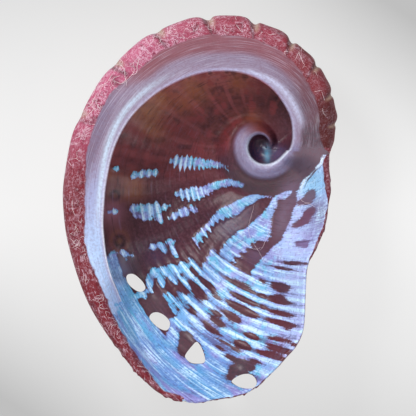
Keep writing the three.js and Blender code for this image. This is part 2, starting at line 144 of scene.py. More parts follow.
def around(x, y):
    dx, dy = x - DOME[0], y - DOME[1]
    b = np.degrees(np.arctan2(-dy, dx))
    B3 = np.r_[RB[-1] - 360, RB, RB[0] + 360]
    D3 = np.r_[RD[-1], RD, RD[0]]
    U3 = np.degrees(np.unwrap(np.radians(np.r_[RU[-1], RU, RU[0]])))
    return np.hypot(dx, dy), np.interp(b, B3, D3), turn_of(np.interp(b, B3, U3))


def bowl(s, steep):
    g = lambda q: 1 - np.sqrt(np.maximum(0, 1 - clamp(q) ** POWER))
    return g(steep * s) / g(steep)


def back_z(x, y):
    d, R, U = around(x, y)
    return curve(SIDE_Z, U) * bowl(np.minimum(1, d / R), curve(STEEP, U))


def floor_z(x, y):
    d, R, U = around(x, y)
    wall = curve(NEAR_WALL, U)
    side = smooth(112, 140, U) * (1 - smooth(345, 366, U))
    top = mix(curve(TOP_Z, U), 72, side)
    return FLOOR_WALL + (top - FLOOR_WALL) * bowl(np.minimum(1, d / (R - wall)), curve(STEEP, U))


# ---- seeded smooth noise ------------------------------------------------------------------
_rng = np.random.RandomState(7)
_LAT = _rng.rand(256, 256)


def noise2(x, y):
    """Value noise in 0..1, smooth, one unit per feature."""
    xi, yi = np.floor(x).astype(int), np.floor(y).astype(int)
    fx, fy = x - xi, y - yi
    fx, fy = fx * fx * (3 - 2 * fx), fy * fy * (3 - 2 * fy)
    a = _LAT[xi & 255, yi & 255]
    b = _LAT[(xi + 1) & 255, yi & 255]
    c = _LAT[xi & 255, (yi + 1) & 255]
    d = _LAT[(xi + 1) & 255, (yi + 1) & 255]
    return mix(mix(a, b, fx), mix(c, d, fx), fy)


def fbm(x, y, octaves=3):
    z, amp, tot = 0.0, 1.0, 0.0
    for i in range(octaves):
        z = z + amp * noise2(x * 2 ** i + 17.3 * i, y * 2 ** i + 5.1 * i)
        tot += amp
        amp *= 0.5
    return z / tot


# ---- growth marks: the ridge faces between a crest and a valley carry a painted highlight, and the same field raises the relief ---
# (place across the whorl, angle) of each fold's valley and crest
VALLEY = [
    [(4.12, 40), (4.2, 50), (4.35, 56), (4.5, 60), (4.6, 66), (4.7, 69), (4.8, 73), (4.9, 77), (5.0, 80), (5.1, 86), (5.2, 90), (5.3, 94), (5.4, 96.5), (5.6, 99)],
    [(4.22, 62), (4.27, 70), (4.35, 78), (4.45, 83), (4.6, 88), (4.7, 92), (4.8, 96), (4.9, 100), (5.0, 103), (5.1, 108), (5.2, 111), (5.3, 113), (5.42, 114)],
    [(4.38, 88), (4.43, 100), (4.5, 106), (4.57, 110), (4.67, 114), (4.77, 118), (4.87, 121), (4.97, 124), (5.07, 126.5), (5.15, 127.5), (5.25, 127.5), (5.35, 128), (5.5, 129)],
    [(4.52, 124), (4.6, 134), (4.65, 139), (4.75, 141), (4.85, 143), (4.95, 145), (5.05, 146), (5.12, 148), (5.2, 148), (5.3, 149), (5.4, 151), (5.49, 154)],
    [(4.6, 146), (4.65, 155), (4.7, 160), (4.8, 163), (4.9, 165), (5.0, 167), (5.1, 169), (5.2, 171), (5.3, 173), (5.4, 173.5), (5.52, 174)],
]
CREST = [
    None,
    [(4.22, 55), (4.3, 60), (4.4, 68), (4.45, 75), (4.6, 80), (4.7, 84), (4.85, 86), (4.95, 87), (5.05, 90), (5.1, 97), (5.2, 100), (5.3, 104), (5.4, 107)],
    [(4.38, 80), (4.43, 90), (4.5, 97), (4.6, 101), (4.7, 106), (4.8, 110), (4.88, 111), (4.95, 114), (5.05, 118), (5.1, 121), (5.2, 124), (5.3, 125), (5.5, 125)],
    [(4.52, 120), (4.65, 131), (4.75, 134), (4.85, 138), (4.95, 140), (5.05, 141), (5.12, 142), (5.2, 143), (5.3, 145), (5.4, 147.5), (5.49, 152)],
    [(4.6, 143), (4.75, 155), (4.85, 157), (4.95, 160), (5.05, 162), (5.15, 163), (5.25, 165), (5.35, 166.5), (5.45, 168), (5.55, 172)],
]
# patches of painted highlight and dark hollows cut out of it: (x, y, half length, half width) in the
# photo's pixels, each lying along the spiral; a fifth number turns it, in degrees
HOLLOWS = [
    (263, 282, 6, 1.6), (280, 287, 10.5, 3.4), (241.6, 285, 15, 2.6), (262, 295.5, 5, 2.0), (279, 299.5, 11, 3.8), (244.3, 299.5, 14, 2.6),
    (263, 307.5, 4, 1.6), (278, 313, 13, 2.1), (241.6, 309.3, 16, 4.0), (282.7, 323.6, 14, 2.8), (231.8, 317.3, 9.5, 3.6), (217, 313, 6, 2.4),
    (217, 322.5, 10, 2.8), (210, 329, 11, 2.8), (251.4, 336, 6.5, 2.8), (278, 338.7, 14, 2.2), (242.5, 345, 7.5, 3.8), (228, 344, 15, 1.7),
    (278, 349.5, 13, 2.9), (273, 355.7, 14, 3.2), (220, 349, 4, 1.2), (229, 357, 6, 2.2), (256.8, 361, 4, 1.5), (236, 349, 7, 2.6),
    (308.7, 197.2, 8.5, 4.2, -26), (302, 201.5, 6, 2.6, -12), (309, 212.5, 6.5, 3.6, -22), (301.5, 222.5, 9.5, 2.9, -14), (306, 217.5, 6.5, 3.2, -24), (296, 224, 4, 2.0, -10), (304.8, 243.7, 9.5, 3.0), (282, 202.5, 5.5, 3.0), (279, 210, 4, 2.2),
    (286, 218, 3, 3), (288, 329, 5, 1.6), (243, 363, 8, 2), (296, 263, 12, 1.8), (283, 268, 9, 1.4), (198, 292, 12, 4.2, 8), (189, 308, 9, 2.6),
    (130, 268, 6, 6, 40), (207, 284, 10, 2.8), (216, 297, 8, 2), (275, 346, 4, 1.2), (295, 345, 5, 1.6),
]
HIGHLIGHT_PATCHES = [
    (160, 214, 3, 2), (128, 262, 5, 2.6), (131, 256, 3, 2), (150, 291, 5, 3.5), (145, 296, 4, 3), (176, 331, 5, 3.4), (171, 338, 5, 3),
    (215, 352, 9, 3.2), (203, 338, 12, 2.6), (222, 368, 9, 3), (212, 360, 8, 3), (219, 376, 8, 3),
]


def spiral_c(r, U):
    return np.log(np.maximum(r, 1.0)) + K_GROW * U * RAD


def cord_wave(c):
    """1 on a spiral cord's top, -1 between cords."""
    return np.cos(2 * np.pi * (c - 5.50) / 0.0634 + 0.7 * np.sin(c * 9.0))


def folds(r, U):
    c = spiral_c(r, U)
    q = (U - curve(FOLD_LINE, c)) / FOLD_STEP
    t = q - np.floor(q)
    h = np.where(t < 0.62, 0.5 - 0.5 * np.cos(np.pi * t / 0.62), 0.5 + 0.5 * np.cos(np.pi * (t - 0.62) / 0.38))
    here = smooth(4.1, 4.6, c) * smooth(34, 60, r) * (1 - 0.75 * smooth(170, 215, U))
    return -FOLD * (h - 0.5) * 2 * (r / 150) * here


# breathing holes: plan centre, then the rim as points round it, in photo pixels
POLE = (265.0, 148.0)
HOLES = [
    [(126.8, 275.4), (132.5, 273.8), (138.5, 277.5), (143.5, 283), (145.3, 288), (142.5, 291.3), (137.5, 291.2), (131, 286.8), (127, 281.5)],
    [(149.3, 318), (152, 313.2), (158, 312.3), (164.5, 315.5), (169.3, 321), (169.6, 326), (167, 330), (162, 329.6), (155.5, 325.5)],
    [(196.3, 341.8), (199.5, 344.5), (202.5, 350), (205, 358.5), (203.8, 362.6), (198, 363.6), (190.5, 362.5), (185.2, 357.5), (186.2, 353.2), (191.8, 346)],
    [(231.6, 381), (236.8, 376.6), (243.5, 374.1), (250, 374.2), (255, 378), (256.6, 383.3), (253.8, 387.6), (248, 388.6), (240.5, 387.4), (234.5, 384.3)],
]
HOLE_C = [(135.3, 282.7), (159.3, 321.0), (194.9, 354.0), (244.4, 381.2)]
HOLE_XY = [(p[0] - POLE[0], POLE[1] - p[1]) for p in HOLE_C]


def dimples(x, y):
    z = 0.0
    for hx, hy in HOLE_XY:
        z = z - 3.2 * np.exp(-((x - hx + 3) ** 2 + (y - hy - 6) ** 2) / 190)
    return z


def tubercles(x, y):
    z = 0.0
    for hx, hy in HOLE_XY:
        z = z - 6.5 * np.exp(-((x - hx) ** 2 + (y - hy) ** 2) / 230)
    return z


def seam(V):
    return 65 * np.exp(-K_GROW * (V - 366.5) * RAD)


def coil(r, U):
    z = np.zeros_like(r)
    T = turn_of(U)
    for n in (1, 2):
        outer, inner = seam(T + 360 * n), seam(T + 360 * (n + 1))
        t = clamp((r - inner) / (outer - inner))
        zz = -0.05 * outer * np.sin(np.pi * t ** 1.5) ** 0.7 - 2 * (1 - smooth(8, 60, outer))
        z = np.where((r < outer) & (r > inner), zz, z)
    z = np.where(r <= seam(T + 1080), -2.5, z)
    return z - 4 * (1 - smooth(12, 62, r))


# ---- cross-sections -----------------------------------------------------------------------
def rim_line(U):
    U = np.asarray(U, float)
    R = outline(U)
    x, y = R * np.cos(U * RAD), -R * np.sin(U * RAD)
    w = curve(RIM_WIDTH, U)
    turn = smooth(START, START + 24, U) * (1 - smooth(104, 128, U))
    l = np.hypot(DOME[0] - x, DOME[1] - y)
    dx = mix(-x / R, (DOME[0] - x) / l, turn)
    dy = mix(-y / R, (DOME[1] - y) / l, turn)
    n = np.hypot(dx, dy)
    px, py = x + w * dx / n, y + w * dy / n
    far = U >= 128
    return np.where(far, U, np.degrees(np.arctan2(-py, px))), np.where(far, curve(SHELF_EDGE, U), np.hypot(px, py))


def rim_point(U, r):
    x, y = r * np.cos(U * RAD), -r * np.sin(U * RAD)
    return floor_z(x, y) + folds(r, U) * (1 - smooth(-16, 0, r - outline(U))) + dimples(x, y)


EDGE_128 = float(rim_point(np.float64(128), np.float64(217)))


def inner_z(U, r):
    r0 = shelf_edge(U + 360)
    z0 = curve(SHELF_Z, U + 360)
    d = r - r0
    low = smooth(190, 330, U)
    b = curve(BEAD, np.maximum(0, d) * mix(1, 1.5, low))
    bead = z0 + np.where(b > 0, b, b * mix(0.16, 1, smooth(15, 135, U)))
    z = smax(bead, rim_point(U, r), mix(8, 5, low))
    near = U < START + 34
    zs = rim_profile(np.full_like(r, START + 360), clamp(d / (outline(U) - r0)))
    return np.where(near, mix(zs, z, smooth(START, START + 34, U)), z)


def edge_z(U):
    U = np.asarray(U, float)
    shelf = mix(EDGE_128, curve(SHELF_Z, U), smooth(128, 140, U))
    if np.all(U >= 128):
        return shelf
    Ue, re = rim_line(np.minimum(U, 127.99))
    return np.where(U >= 128, shelf, inner_z(Ue, re))


def rim_profile(U, q):
    R, T = outline(U), turn_of(U)
    T = np.where(U >= START + 359.99, START + 360, T)
    zt, zo, w = curve(TOP_Z, T), curve(SIDE_Z, T), curve(ROUND, T)
    z0 = edge_z(U)
    width = np.where(U >= 128, R - shelf_edge(U), curve(RIM_WIDTH, U))
    qt = 1 - w / width
    p = mix(1.5, 0.9, smooth(300, 360, U))
    flat = mix(z0, zt, np.sin(clamp(q / qt) * np.pi / 2) ** p)
    rnd = zo + (zt - zo) * np.sqrt(np.maximum(0, 1 - (np.maximum(0, q - qt) / (1 - qt)) ** 2))
    return np.where(q <= qt, flat, rnd)


def floor_columns(A, B, rows):
    r0 = shelf_edge(A + 360)
    Ue, re = rim_line(B)
    R = outline(B)
    wall = curve(NEAR_WALL, turn_of(B))
    last = smooth(322, 364, B)
    over = smooth(130, 158, B) * (1 - 0.35 * smooth(300, 366, B)) * (1 - last)
    lap = smooth(130, 150, B) * (1 - last)
    ru = mix(re, R - wall - 1, over)
    under = int(round(rows * 0.16))
    flat = rows - under

    def path(t):
        q = mix(t, np.sin(t * np.pi / 2), 0.15)
        r = mix(r0[:, None], ru[:, None], q)
        U = mix(A[:, None], Ue[:, None], q ** 0.8)
        return U, r, inner_z(U, r)

    tf = mix(flat / rows, 1, lap)
    z1 = edge_z(B)
    zu = path(np.ones((len(A), 1)))[2][:, 0]
    th = 4.2 * lap
    t = tf[:, None] * np.arange(flat + 1)[None] / flat
    U, r, z = path(t)
    p0 = (ru, zu)
    p1 = (ru + 0.6 * over, mix(zu, z1 - th, 0.75))
    p2 = (mix(re, ru, 0.55), z1 - th - 0.04 * (ru - re))
    p3 = (re + 1.3 * over, z1 - th)
    i = np.arange(1, under)[None]
    u = i / under
    kU, kr, kz = path(mix(tf[:, None], 1, u))
    s = i / (under - 1)
    a, b, c, d = (1 - s) ** 3, 3 * s * (1 - s) ** 2, 3 * s * s * (1 - s), s ** 3
    br = a * p0[0][:, None] + b * p1[0][:, None] + c * p2[0][:, None] + d * p3[0][:, None]
    bz = a * p0[1][:, None] + b * p1[1][:, None] + c * p2[1][:, None] + d * p3[1][:, None]
    L = lap[:, None]
    U = np.c_[U, mix(kU, B[:, None], L), Ue]
    r = np.c_[r, mix(kr, br, L), re]
    z = np.c_[z, mix(kz, bz, L), z1]
    tt = np.linspace(0, 1, 200)
    zz = 24 + (z1[:, None] - 24) * np.interp(r / re[:, None], mix(tt, np.sin(tt * np.pi / 2), 0.5), tt) ** 3.2
    z = mix(z, np.minimum(zz, z1[:, None]), last[:, None] * smooth(0, 5, r - r0[:, None]))
    beneath = np.zeros_like(r)
    beneath[:, flat + 1:-1] = L * np.minimum(1, 3 * s)
    return U, r, z, beneath


def coil_columns(A, rows):
    V = A + 360
    r1, z1 = shelf_edge(V), curve(SHELF_Z, V)
    base = mix(24, 19, smooth(366, 500, V))[:, None]
    t = (np.arange(rows + 1) / rows)[None]
    r = r1[:, None] * mix(t, np.sin(t * np.pi / 2), 0.5)
    z = base + (z1[:, None] - base) * t ** 3.2 - 1.5 * np.sin(np.pi * t)
    return np.repeat(A[:, None], rows + 1, 1), r, z


NOTCH = [(189.5, 0.8), (209, 1.1), (227, 1.8), (246, 4.6), (265, 5.0), (284, 4.5), (302, 2.6), (321, 2.0), (341, 1.6)]


def notches(U):
    """How far the edge stands in (positive) at the gaps between the rim's lumps."""
    z = 0.0
    for at, deep in NOTCH:
        z = z + deep * np.exp(-((U - at) / 1.7) ** 2)
    lump = 0.0
    for at, deep in NOTCH:
        lump = lump - 1.1 * np.exp(-((U - at + 5) / 4.0) ** 2)
    return z + lump


def rim_columns(B, rows):
    Ue, re = rim_line(B)
    R, T = outline(B), turn_of(B)
    width = np.where(B >= 128, R - re, curve(RIM_WIDTH, B))
    qt = (1 - curve(ROUND, T) / width)[:, None]
    flat = int(round(rows * 0.72))
    i = np.arange(rows + 1)[None]
    q = np.where(i <= flat, qt * i / flat, qt + (1 - qt) * np.sin(clamp((i - flat) / (rows - flat)) * np.pi / 2))
    ax, ay = re * np.cos(Ue * RAD), -re * np.sin(Ue * RAD)
    bx, by = R * np.cos(B * RAD), -R * np.sin(B * RAD)
    x = mix(ax[:, None], bx[:, None], q)
    y = mix(ay[:, None], by[:, None], q)
    z = rim_profile(np.repeat(B[:, None], rows + 1, 1), q)
    U = np.degrees(np.arctan2(-y, x))
    U = B[:, None] + np.mod(U - B[:, None] + 180.0, 360.0) - 180.0
    return U, np.hypot(x, y), z, q


def back_columns(A, B, rows):
    R = outline(B)[:, None]
    t = (np.arange(rows + 1) / rows)[None]
    c = np.cos(t * np.pi / 2)
    r = R * c ** 0.9
    U = mix(B[:, None], A[:, None], (1 - c) ** 0.8)
    x, y = r * np.cos(U * RAD), -r * np.sin(U * RAD)
    k = smooth(0, 14, outline(U) - r)
    k[:, 0] = 0
    z = back_z(x, y) + k * (folds(r, U) * 1.1 + tubercles(x, y) + coil(r, U))
    return U, r, z, t * np.ones_like(r)


# ---- the mesh -----------------------------------------------------------------------------
NC, NF, NK, NB, NI = 600, 112, 25, 17, 6
_steps = 7200
_a = START + 360.0 * np.arange(_steps + 1) / _steps
_ra = outline(_a)
_seg = np.hypot(np.diff(_ra * np.cos(_a * RAD)), np.diff(_ra * np.sin(_a * RAD)))
_len = np.r_[0, np.cumsum(0.3 / _steps + 0.7 * _seg / 1120)]
_len /= _len[-1]
COL_B = np.interp(np.arange(NC) / NC, _len, _a)
COL_A = mix(COL_B, START + 360.0 * np.arange(NC) / NC, 0.6)

FU, FR, FZ, FBEN = floor_columns(COL_A, COL_B, NF)
CU, CR, CZ = coil_columns(COL_A, NI)
KU, KR, KZ, KQ = rim_columns(COL_B, NK)
BU, BR, BZ, BT = back_columns(COL_A, COL_B, NB)

# relief finer than the solid's: folds' sharp faces, cords, hollows, the rim's lumps
FX, FY = POLE[0] + FR * np.cos(FU * RAD), POLE[1] + FR * np.sin(FU * RAD)  # photo pixels
FC = spiral_c(FR, FU)


def ellipse(items, X, Y, soft, grow=1.0):
    """Greatest of the ellipses' distances in from their rims, in pixels over soft."""
    best = np.full(X.shape, -4.0)
    for it in items:
        x, y, hl, hw = it[:4]
        th = math.atan2(y - POLE[1], x - POLE[0])
        # along the spiral: dr = -K r dtheta
        tx, ty = -math.sin(th) - K_GROW * math.cos(th), math.cos(th) - K_GROW * math.sin(th)
        a = math.atan2(ty, tx) + (it[4] * RAD if len(it) > 4 else 0)
        u = (X - x) * math.cos(a) + (Y - y) * math.sin(a)
        v = -(X - x) * math.sin(a) + (Y - y) * math.cos(a)
        hl, hw = hl * grow, hw * grow ** 1.3
        m = np.sqrt((u / hl) ** 2 + (v / hw) ** 2)
        best = np.maximum(best, (1 - m) * hw / soft)
    return best


def strokes(items, X, Y, soft):
    best = np.full(X.shape, -4.0)
    for x0, y0, x1, y1, w in items:
        L2 = (x1 - x0) ** 2 + (y1 - y0) ** 2
        t = clamp(((X - x0) * (x1 - x0) + (Y - y0) * (y1 - y0)) / L2)
        d = np.hypot(X - x0 - t * (x1 - x0), Y - y0 - t * (y1 - y0))
        best = np.maximum(best, (1.25 * w * (1 - 0.4 * np.abs(2 * t - 1) ** 2) - d) / soft)
    return best


def lit_field(X, Y, r, U, c):
    teeth = 2.6 * clamp(cord_wave(c)) * smooth(4.6, 5.1, c)
    lit = np.full(X.shape, -3.0)
    for k in range(5):
        V = curve(VALLEY[k], c)
        L = np.full(X.shape, -40.0) if CREST[k] is None else curve(CREST[k], c) - teeth
        px = np.minimum(V - U, U - L) * r * RAD
        c0, c1 = VALLEY[k][0][0], VALLEY[k][-1][0]
        px = np.minimum(px, np.minimum((c - c0), (c1 - c)) * r * 0.9)
        lit = np.maximum(lit, px / 1.6)
    # painted highlight over the outer third of the young shell, between its hollows
    young = np.minimum((118 - U) * r * RAD, (c - 5.41) * r) / 2
    low = np.minimum((146 - U) * r * RAD, (c - 6.045) * r) / 2
    lit = np.maximum(lit, np.maximum(young, low))
    lit = np.maximum(lit, strokes(HIGHLIGHT_STROKES, X, Y, 1.4))
    lit = np.maximum(lit, ellipse(HIGHLIGHT_PATCHES, X, Y, 1.5))
    lit = np.minimum(lit, -ellipse(HOLLOWS, X, Y, 1.3, 1.12))
    lit = np.clip(lit, -3, 2.0)
    # painted shade: soft spots where the highlight is taken away, most on the upper left of each breathing hole, where
    # the surface dips toward it
    for hx, hy, w, k in ((131, 269, 9, 3.4), (156, 303, 9, 4.0), (150, 309, 6, 2.5), (187, 342, 9.5, 4.0), (184, 351, 7, 2.6), (184, 335, 5, 2.2), (228, 164, 7, 1.6), (238, 369, 8.5, 3.6), (249, 368, 7, 2.6), (230, 376, 6.5, 2.8)):
        lit = lit - k * np.exp(-((X - hx) ** 2 + (Y - hy) ** 2) / (w * w))
    # darker ground between the streaks in the middle
    lit = lit - 0.7 * np.exp(-(((X - 165) / 12) ** 2 + ((Y - 288) / 8) ** 2))
    lit = np.maximum(lit, strokes([(122, 293, 134, 297, 2.6), (133, 297, 143, 293, 3.0), (143, 293, 149, 290, 2.4), (125, 301, 138, 306, 2.6), (138, 306, 143, 312, 2.0),
                                   (163, 294, 174, 305, 1.5), (168, 293, 181, 308, 1.9), (175, 291, 189, 309, 1.7), (116, 262, 121, 276, 2.2)], X, Y, 1.3))
    return np.clip(lit, -3, 3)


# strokes of painted highlight: from x, y to x, y, and a width, in the photo's pixels
HIGHLIGHT_STROKES = [
    (150, 247.5, 160, 245, 2.6), (160, 244, 166, 251, 3.2), (167, 242, 173, 242, 3.0), (170, 243, 176, 256, 2.6), (121, 252, 129, 255, 2.6),
    (149, 288, 151, 275, 3.6), (150, 275, 160, 271, 4.6), (160, 274, 163, 286, 3.4), (162, 271, 178, 270, 5.2), (170, 272, 176, 282, 3.6), (178, 268, 188, 266, 4.8),
    (183, 268, 200, 290, 3.2), (176, 274, 192, 292, 2.2), (190, 258, 206, 279, 2.4), (163, 296, 176, 309, 1.9), (170, 293, 184, 310, 2.2), (177, 291, 191, 307, 2.0), (168, 303, 178, 316, 1.6),
    (184, 303, 197, 306, 4.5), (183, 317, 195, 326, 4.2), (196, 298, 222, 318, 3.8), (205, 300, 232, 312, 2.8), (217, 290, 246, 305, 2.4), (218, 276, 250, 296, 2.8), (215, 262, 248, 284, 3.0),
    (171, 322, 188, 336, 5.0), (176, 312, 188, 318, 2.6),
    (173, 161, 181, 160, 4.0), (182, 161, 192, 161, 4.2), (193, 162, 203, 162, 3.8), (205, 163, 214, 163.5, 3.0), (216, 165, 229, 166, 2.0),
    (132, 176, 140, 173.5, 3.2), (141, 174, 150, 173, 3.6), (150, 173, 157, 172, 3.0), (112, 168, 119, 169, 1.8),
    (131, 209, 142, 208.5, 4.2), (142, 211, 151, 211, 6.2), (151, 209, 160, 209, 6.0), (155, 213, 161, 221, 3.6), (164, 207, 168, 206, 2.4),
    (171, 218, 178, 214, 2.8), (179, 213, 188, 211, 4.2), (191, 206, 196, 212, 2.2), (108, 212, 117, 211, 1.8), (135, 215, 149, 218, 3.0),
    (177, 194, 187, 192, 3.2), (188, 192, 198, 190, 3.6), (197, 197, 205, 188, 3.6), (204, 190, 214, 186, 3.4), (213, 187, 222, 183, 3.2), (221, 184, 231, 182, 3.2), (231, 183, 242, 185, 2.6),
]

FX_, FY_ = FX, FY
LIT = lit_field(FX, FY, FR, FU, FC)
_open = smooth(4.3, 4.7, FC) * (1 - FBEN)
_edge = smooth(0, 10, outline(FU) - FR)
relief = 0.55 * (FR / 150) * cord_wave(FC) * smooth(4.9, 5.3, FC) * (1 - 0.8 * smooth(140, 160, FU))
relief += 0.55 * clamp(LIT, -1, 1)
relief += 0.5 * (fbm(FX / 5.0, FY / 5.0) - 0.5)
FZ = FZ + relief * _open * _edge * smooth(START, START + 9, FU)

KX, KY = POLE[0] + KR * np.cos(KU * RAD), POLE[1] + KR * np.sin(KU * RAD)
# the rim's lumps: the edge stands in at the gaps
_kin = notches(KU) * smooth(0.55, 1.0, KQ) * smooth(150, 185, KU)
KR = KR - _kin
KR = KR - smooth(0.5, 1.0, KQ) * smooth(9, 16, KU) * (1 - smooth(62, 72, KU)) * 3.0 * (fbm(KX / 4.5 + 5, KY / 4.5) - 0.5)
_frill = smooth(0.6, 1.0, KQ) * smooth(84, 94, KU) * (1 - smooth(122, 132, KU))
KR = KR - _frill * (4.6 * (fbm(KX / 5.0 + 9, KY / 5.0) - 0.42) + 2.0 * (fbm(KX / 2.0, KY / 2.0 + 3) - 0.5))
_side = smooth(0.35, 0.8, KQ) * smooth(112, 126, KU)
_side = _side * (1 - smooth(350, 364, KU))
KZ = KZ + _side * (2.4 * (fbm(KX / 7.0, KY / 7.0) - 0.5) + 1.2 * (fbm(KX / 2.4, KY / 2.4) - 0.5)) * (1 - smooth(0.93, 1.0, KQ))
KZ = KZ + 0.14 * np.sin(2 * np.pi * (np.log(KR) + K_GROW * KU * RAD) / 0.021) * smooth(0.02, 0.1, KQ) * (1 - _side) * (KU >= 128) * (1 - smooth(350, 364, KU))
_bin = notches(BU) * (1 - smooth(0.0, 0.25, BT)) * smooth(150, 185, BU)
BR = BR - _bin
BX, BY = POLE[0] + BR * np.cos(BU * RAD), POLE[1] + BR * np.sin(BU * RAD)
BC = spiral_c(np.maximum(BR, 2), BU)
BZ = BZ - (0.6 * cord_wave(BC) + 2.0 * (fbm(BX / 6.0, BY / 6.0) - 0.5)) * smooth(0.04, 0.2, BT) * smooth(6, 20, BR) * smooth(9, 30, BZ)

verts, att = [], {k: [] for k in ("U", "r", "sheet", "q")}


def put(U, r, z, sheet, q):
    base = sum(len(v) for v in verts)
    U, r, z, q = [np.asarray(v, float).ravel() for v in (U, r, z, q)]
    verts.append(np.c_[r * np.cos(U * RAD), -r * np.sin(U * RAD), z])
    att["U"].append(U)
    att["r"].append(r)
    att["sheet"].append(np.full(len(U), float(sheet)))
    att["q"].append(q)
    return base + np.arange(len(U))


fi = put(FU, FR, FZ, 0, FBEN).reshape(NC, NF + 1)
ci = put(CU[:, 1:NI], CR[:, 1:NI], CZ[:, 1:NI], 1, np.zeros((NC, NI - 1))).reshape(NC, NI - 1)
ki = put(KU[:, 1:], KR[:, 1:], KZ[:, 1:], 2, KQ[:, 1:]).reshape(NC, NK)
bi = put(BU[:, 1:NB], BR[:, 1:NB], BZ[:, 1:NB], 3, BT[:, 1:NB]).reshape(NC, NB - 1)
axis_top = put([0.0], [0.0], [float(coil_columns(np.array([40.0]), 5)[2][0, 0])], 1, [0.0])[0]
axis_back = put([0.0], [0.0], [float(back_z(np.float64(0), np.float64(0)) - 6.5)], 3, [1.0])[0]
C_ = np.c_[np.full(NC, axis_top), ci, fi[:, 0]]
F_ = fi
K_ = np.c_[fi[:, NF], ki]
B_ = np.c_[ki[:, NK - 1], bi, np.full(NC, axis_back)]

faces = []


def quads(G, a, b):
    p, q = G[a], G[b]
    return np.stack([p[:, :-1], q[:, :-1], q[:, 1:], p[:, 1:]], -1).reshape(-1, 4)


rows = np.arange(NC - 1)
Q = np.concatenate([quads(G, rows, rows + 1) for G in (C_, F_, K_, B_)] + [quads(B_, np.array([NC - 1]), np.array([0]))])
for q in Q.tolist():
    f = [q[0]]
    for v in q[1:]:
        if v != f[-1]:
            f.append(v)
    if f[0] == f[-1]:
        f.pop()
    if len(f) > 2:
        faces.append(f)
V = np.concatenate(verts)
U_all, r_all, sheet, q_all = [np.concatenate(att[k]) for k in ("U", "r", "sheet", "q")]


def zip_lines(p, q):
    a = b = 0
    while a < len(p) - 1 or b < len(q) - 1:
        go_q = b < len(q) - 1 and (a == len(p) - 1 or np.linalg.norm(V[p[a]] - V[q[b + 1]]) <= np.linalg.norm(V[p[a + 1]] - V[q[b]]))
        if go_q:
            if len({p[a], q[b], q[b + 1]}) == 3:
                faces.append([p[a], q[b], q[b + 1]])
            b += 1
        else:
            if len({p[a], q[b], p[a + 1]}) == 3:
                faces.append([p[a], q[b], p[a + 1]])
            a += 1


zip_lines(list(C_[-1]) + list(F_[-1][1:]), list(C_[0]))
zip_lines(list(K_[-1]), list(F_[0]) + list(K_[0][1:]))


def to_world(P):
    """Table units to metres in the part's frame."""
    x, y, z = (P[:, 0] - MIDDLE[0]) * S, (P[:, 1] - MIDDLE[1]) * S, P[:, 2] * S
    z = z + LEVEL[0] * x + LEVEL[1] * y
    return np.c_[x - MID[0], y - MID[1], z - LOW] / 1000.0


W = to_world(V)
W[:, 2] = np.maximum(W[:, 2], 0.0)

# ---- what each point's shell is like ------------------------------------------------------
X, Y = POLE[0] + V[:, 0], POLE[1] - V[:, 1]
c_all = spiral_c(np.maximum(r_all, 1.5), U_all)


def lin(rgb):
    v = np.asarray(rgb, float) / 255.0
    return np.where(v <= 0.04045, v / 12.92, ((v + 0.055) / 1.055) ** 2.4)


def blend(base, rgb, m):
    return mix(base, lin(rgb)[None, :], np.clip(m, 0, 1)[:, None])


n = len(V)
near = lambda x, y, s: np.exp(-((X - x) ** 2 + (Y - y) ** 2) / (2 * s * s))
th = np.mod(U_all, 360.0)
is_f, is_c, is_k, is_b = [sheet == s for s in range(4)]
lit_all = np.full(n, -3.0)
lit_all[fi.ravel()] = LIT.ravel()

# the nacre where no painted highlight lies: its own dark maroon, standing as its shaded side, with painted shade added
# in places
dark = np.tile(lin((74, 38, 50)), (n, 1))
up = clamp((200 - Y) / 70) * clamp((250 - X) / 60 + 0.6)
dark = blend(dark, (142, 58, 60), up)
dark = blend(dark, (204, 112, 110), is_f * (1 - smooth(74, 104, Y)) * 0.85)
dark = blend(dark, (92, 52, 44), 0.6 * near(220, 115, 32))
dark = blend(dark, (84, 50, 58), smooth(200, 235, X) * smooth(190, 220, Y) * 0.7)
dark = blend(dark, (96, 36, 40), near(272, 338, 26) * 0.8)
# painted shade on the upper left of each breathing hole, where the surface dips toward it
for hx, hy in [(129, 266), (155, 304), (186, 341), (240, 368)]:
    dark = blend(dark, (84, 62, 70), near(hx, hy, 9) * 1.3)
mott = fbm(X / 7.0 + 11, Y / 7.0 + 3)
wall = is_f * smooth(150, 185, th) * smooth(24, 44, r_all)
dark = blend(dark, (150, 62, 66), wall * smooth(0.48, 0.68, mott) * 0.8)
dark = blend(dark, (78, 30, 36), wall * smooth(0.44, 0.28, mott) * 0.7)
rays = np.cos(2 * np.pi * (U_all - 6.0 * np.sin(c_all * 2.2)) / 12.5) * (0.5 + fbm(X / 12.0, Y / 12.0))
dark = blend(dark, (166, 84, 88), wall * smooth(0.55, 1.1, rays) * smooth(34, 60, r_all) * 0.6)
for ax, ay, aw, k in [(150, 112, 9, 1.0), (161, 98, 8, 0.8), (138, 112, 6, 0.7), (150, 126, 6, 0.9), (158, 134, 7, 0.5), (190, 86, 7, 0.6), (200, 92, 8, 0.5), (131, 188, 9, 0.8), (110, 215, 7, 0.3), (128, 192, 6, 0.5), (182, 104, 8, 0.5), (238, 82, 7, 0.6), (252, 120, 7, 0.4), (110, 178, 6, 0.5)]:
    dark = blend(dark, (164, 94, 54), near(ax, ay, aw) * k * (0.62 + 0.8 * mott))
dark = blend(dark, (124, 66, 64), is_f * near(118, 233, 8) * 0.8)
dark = blend(dark, (116, 62, 74), is_f * near(116, 192, 8) * 0.8)
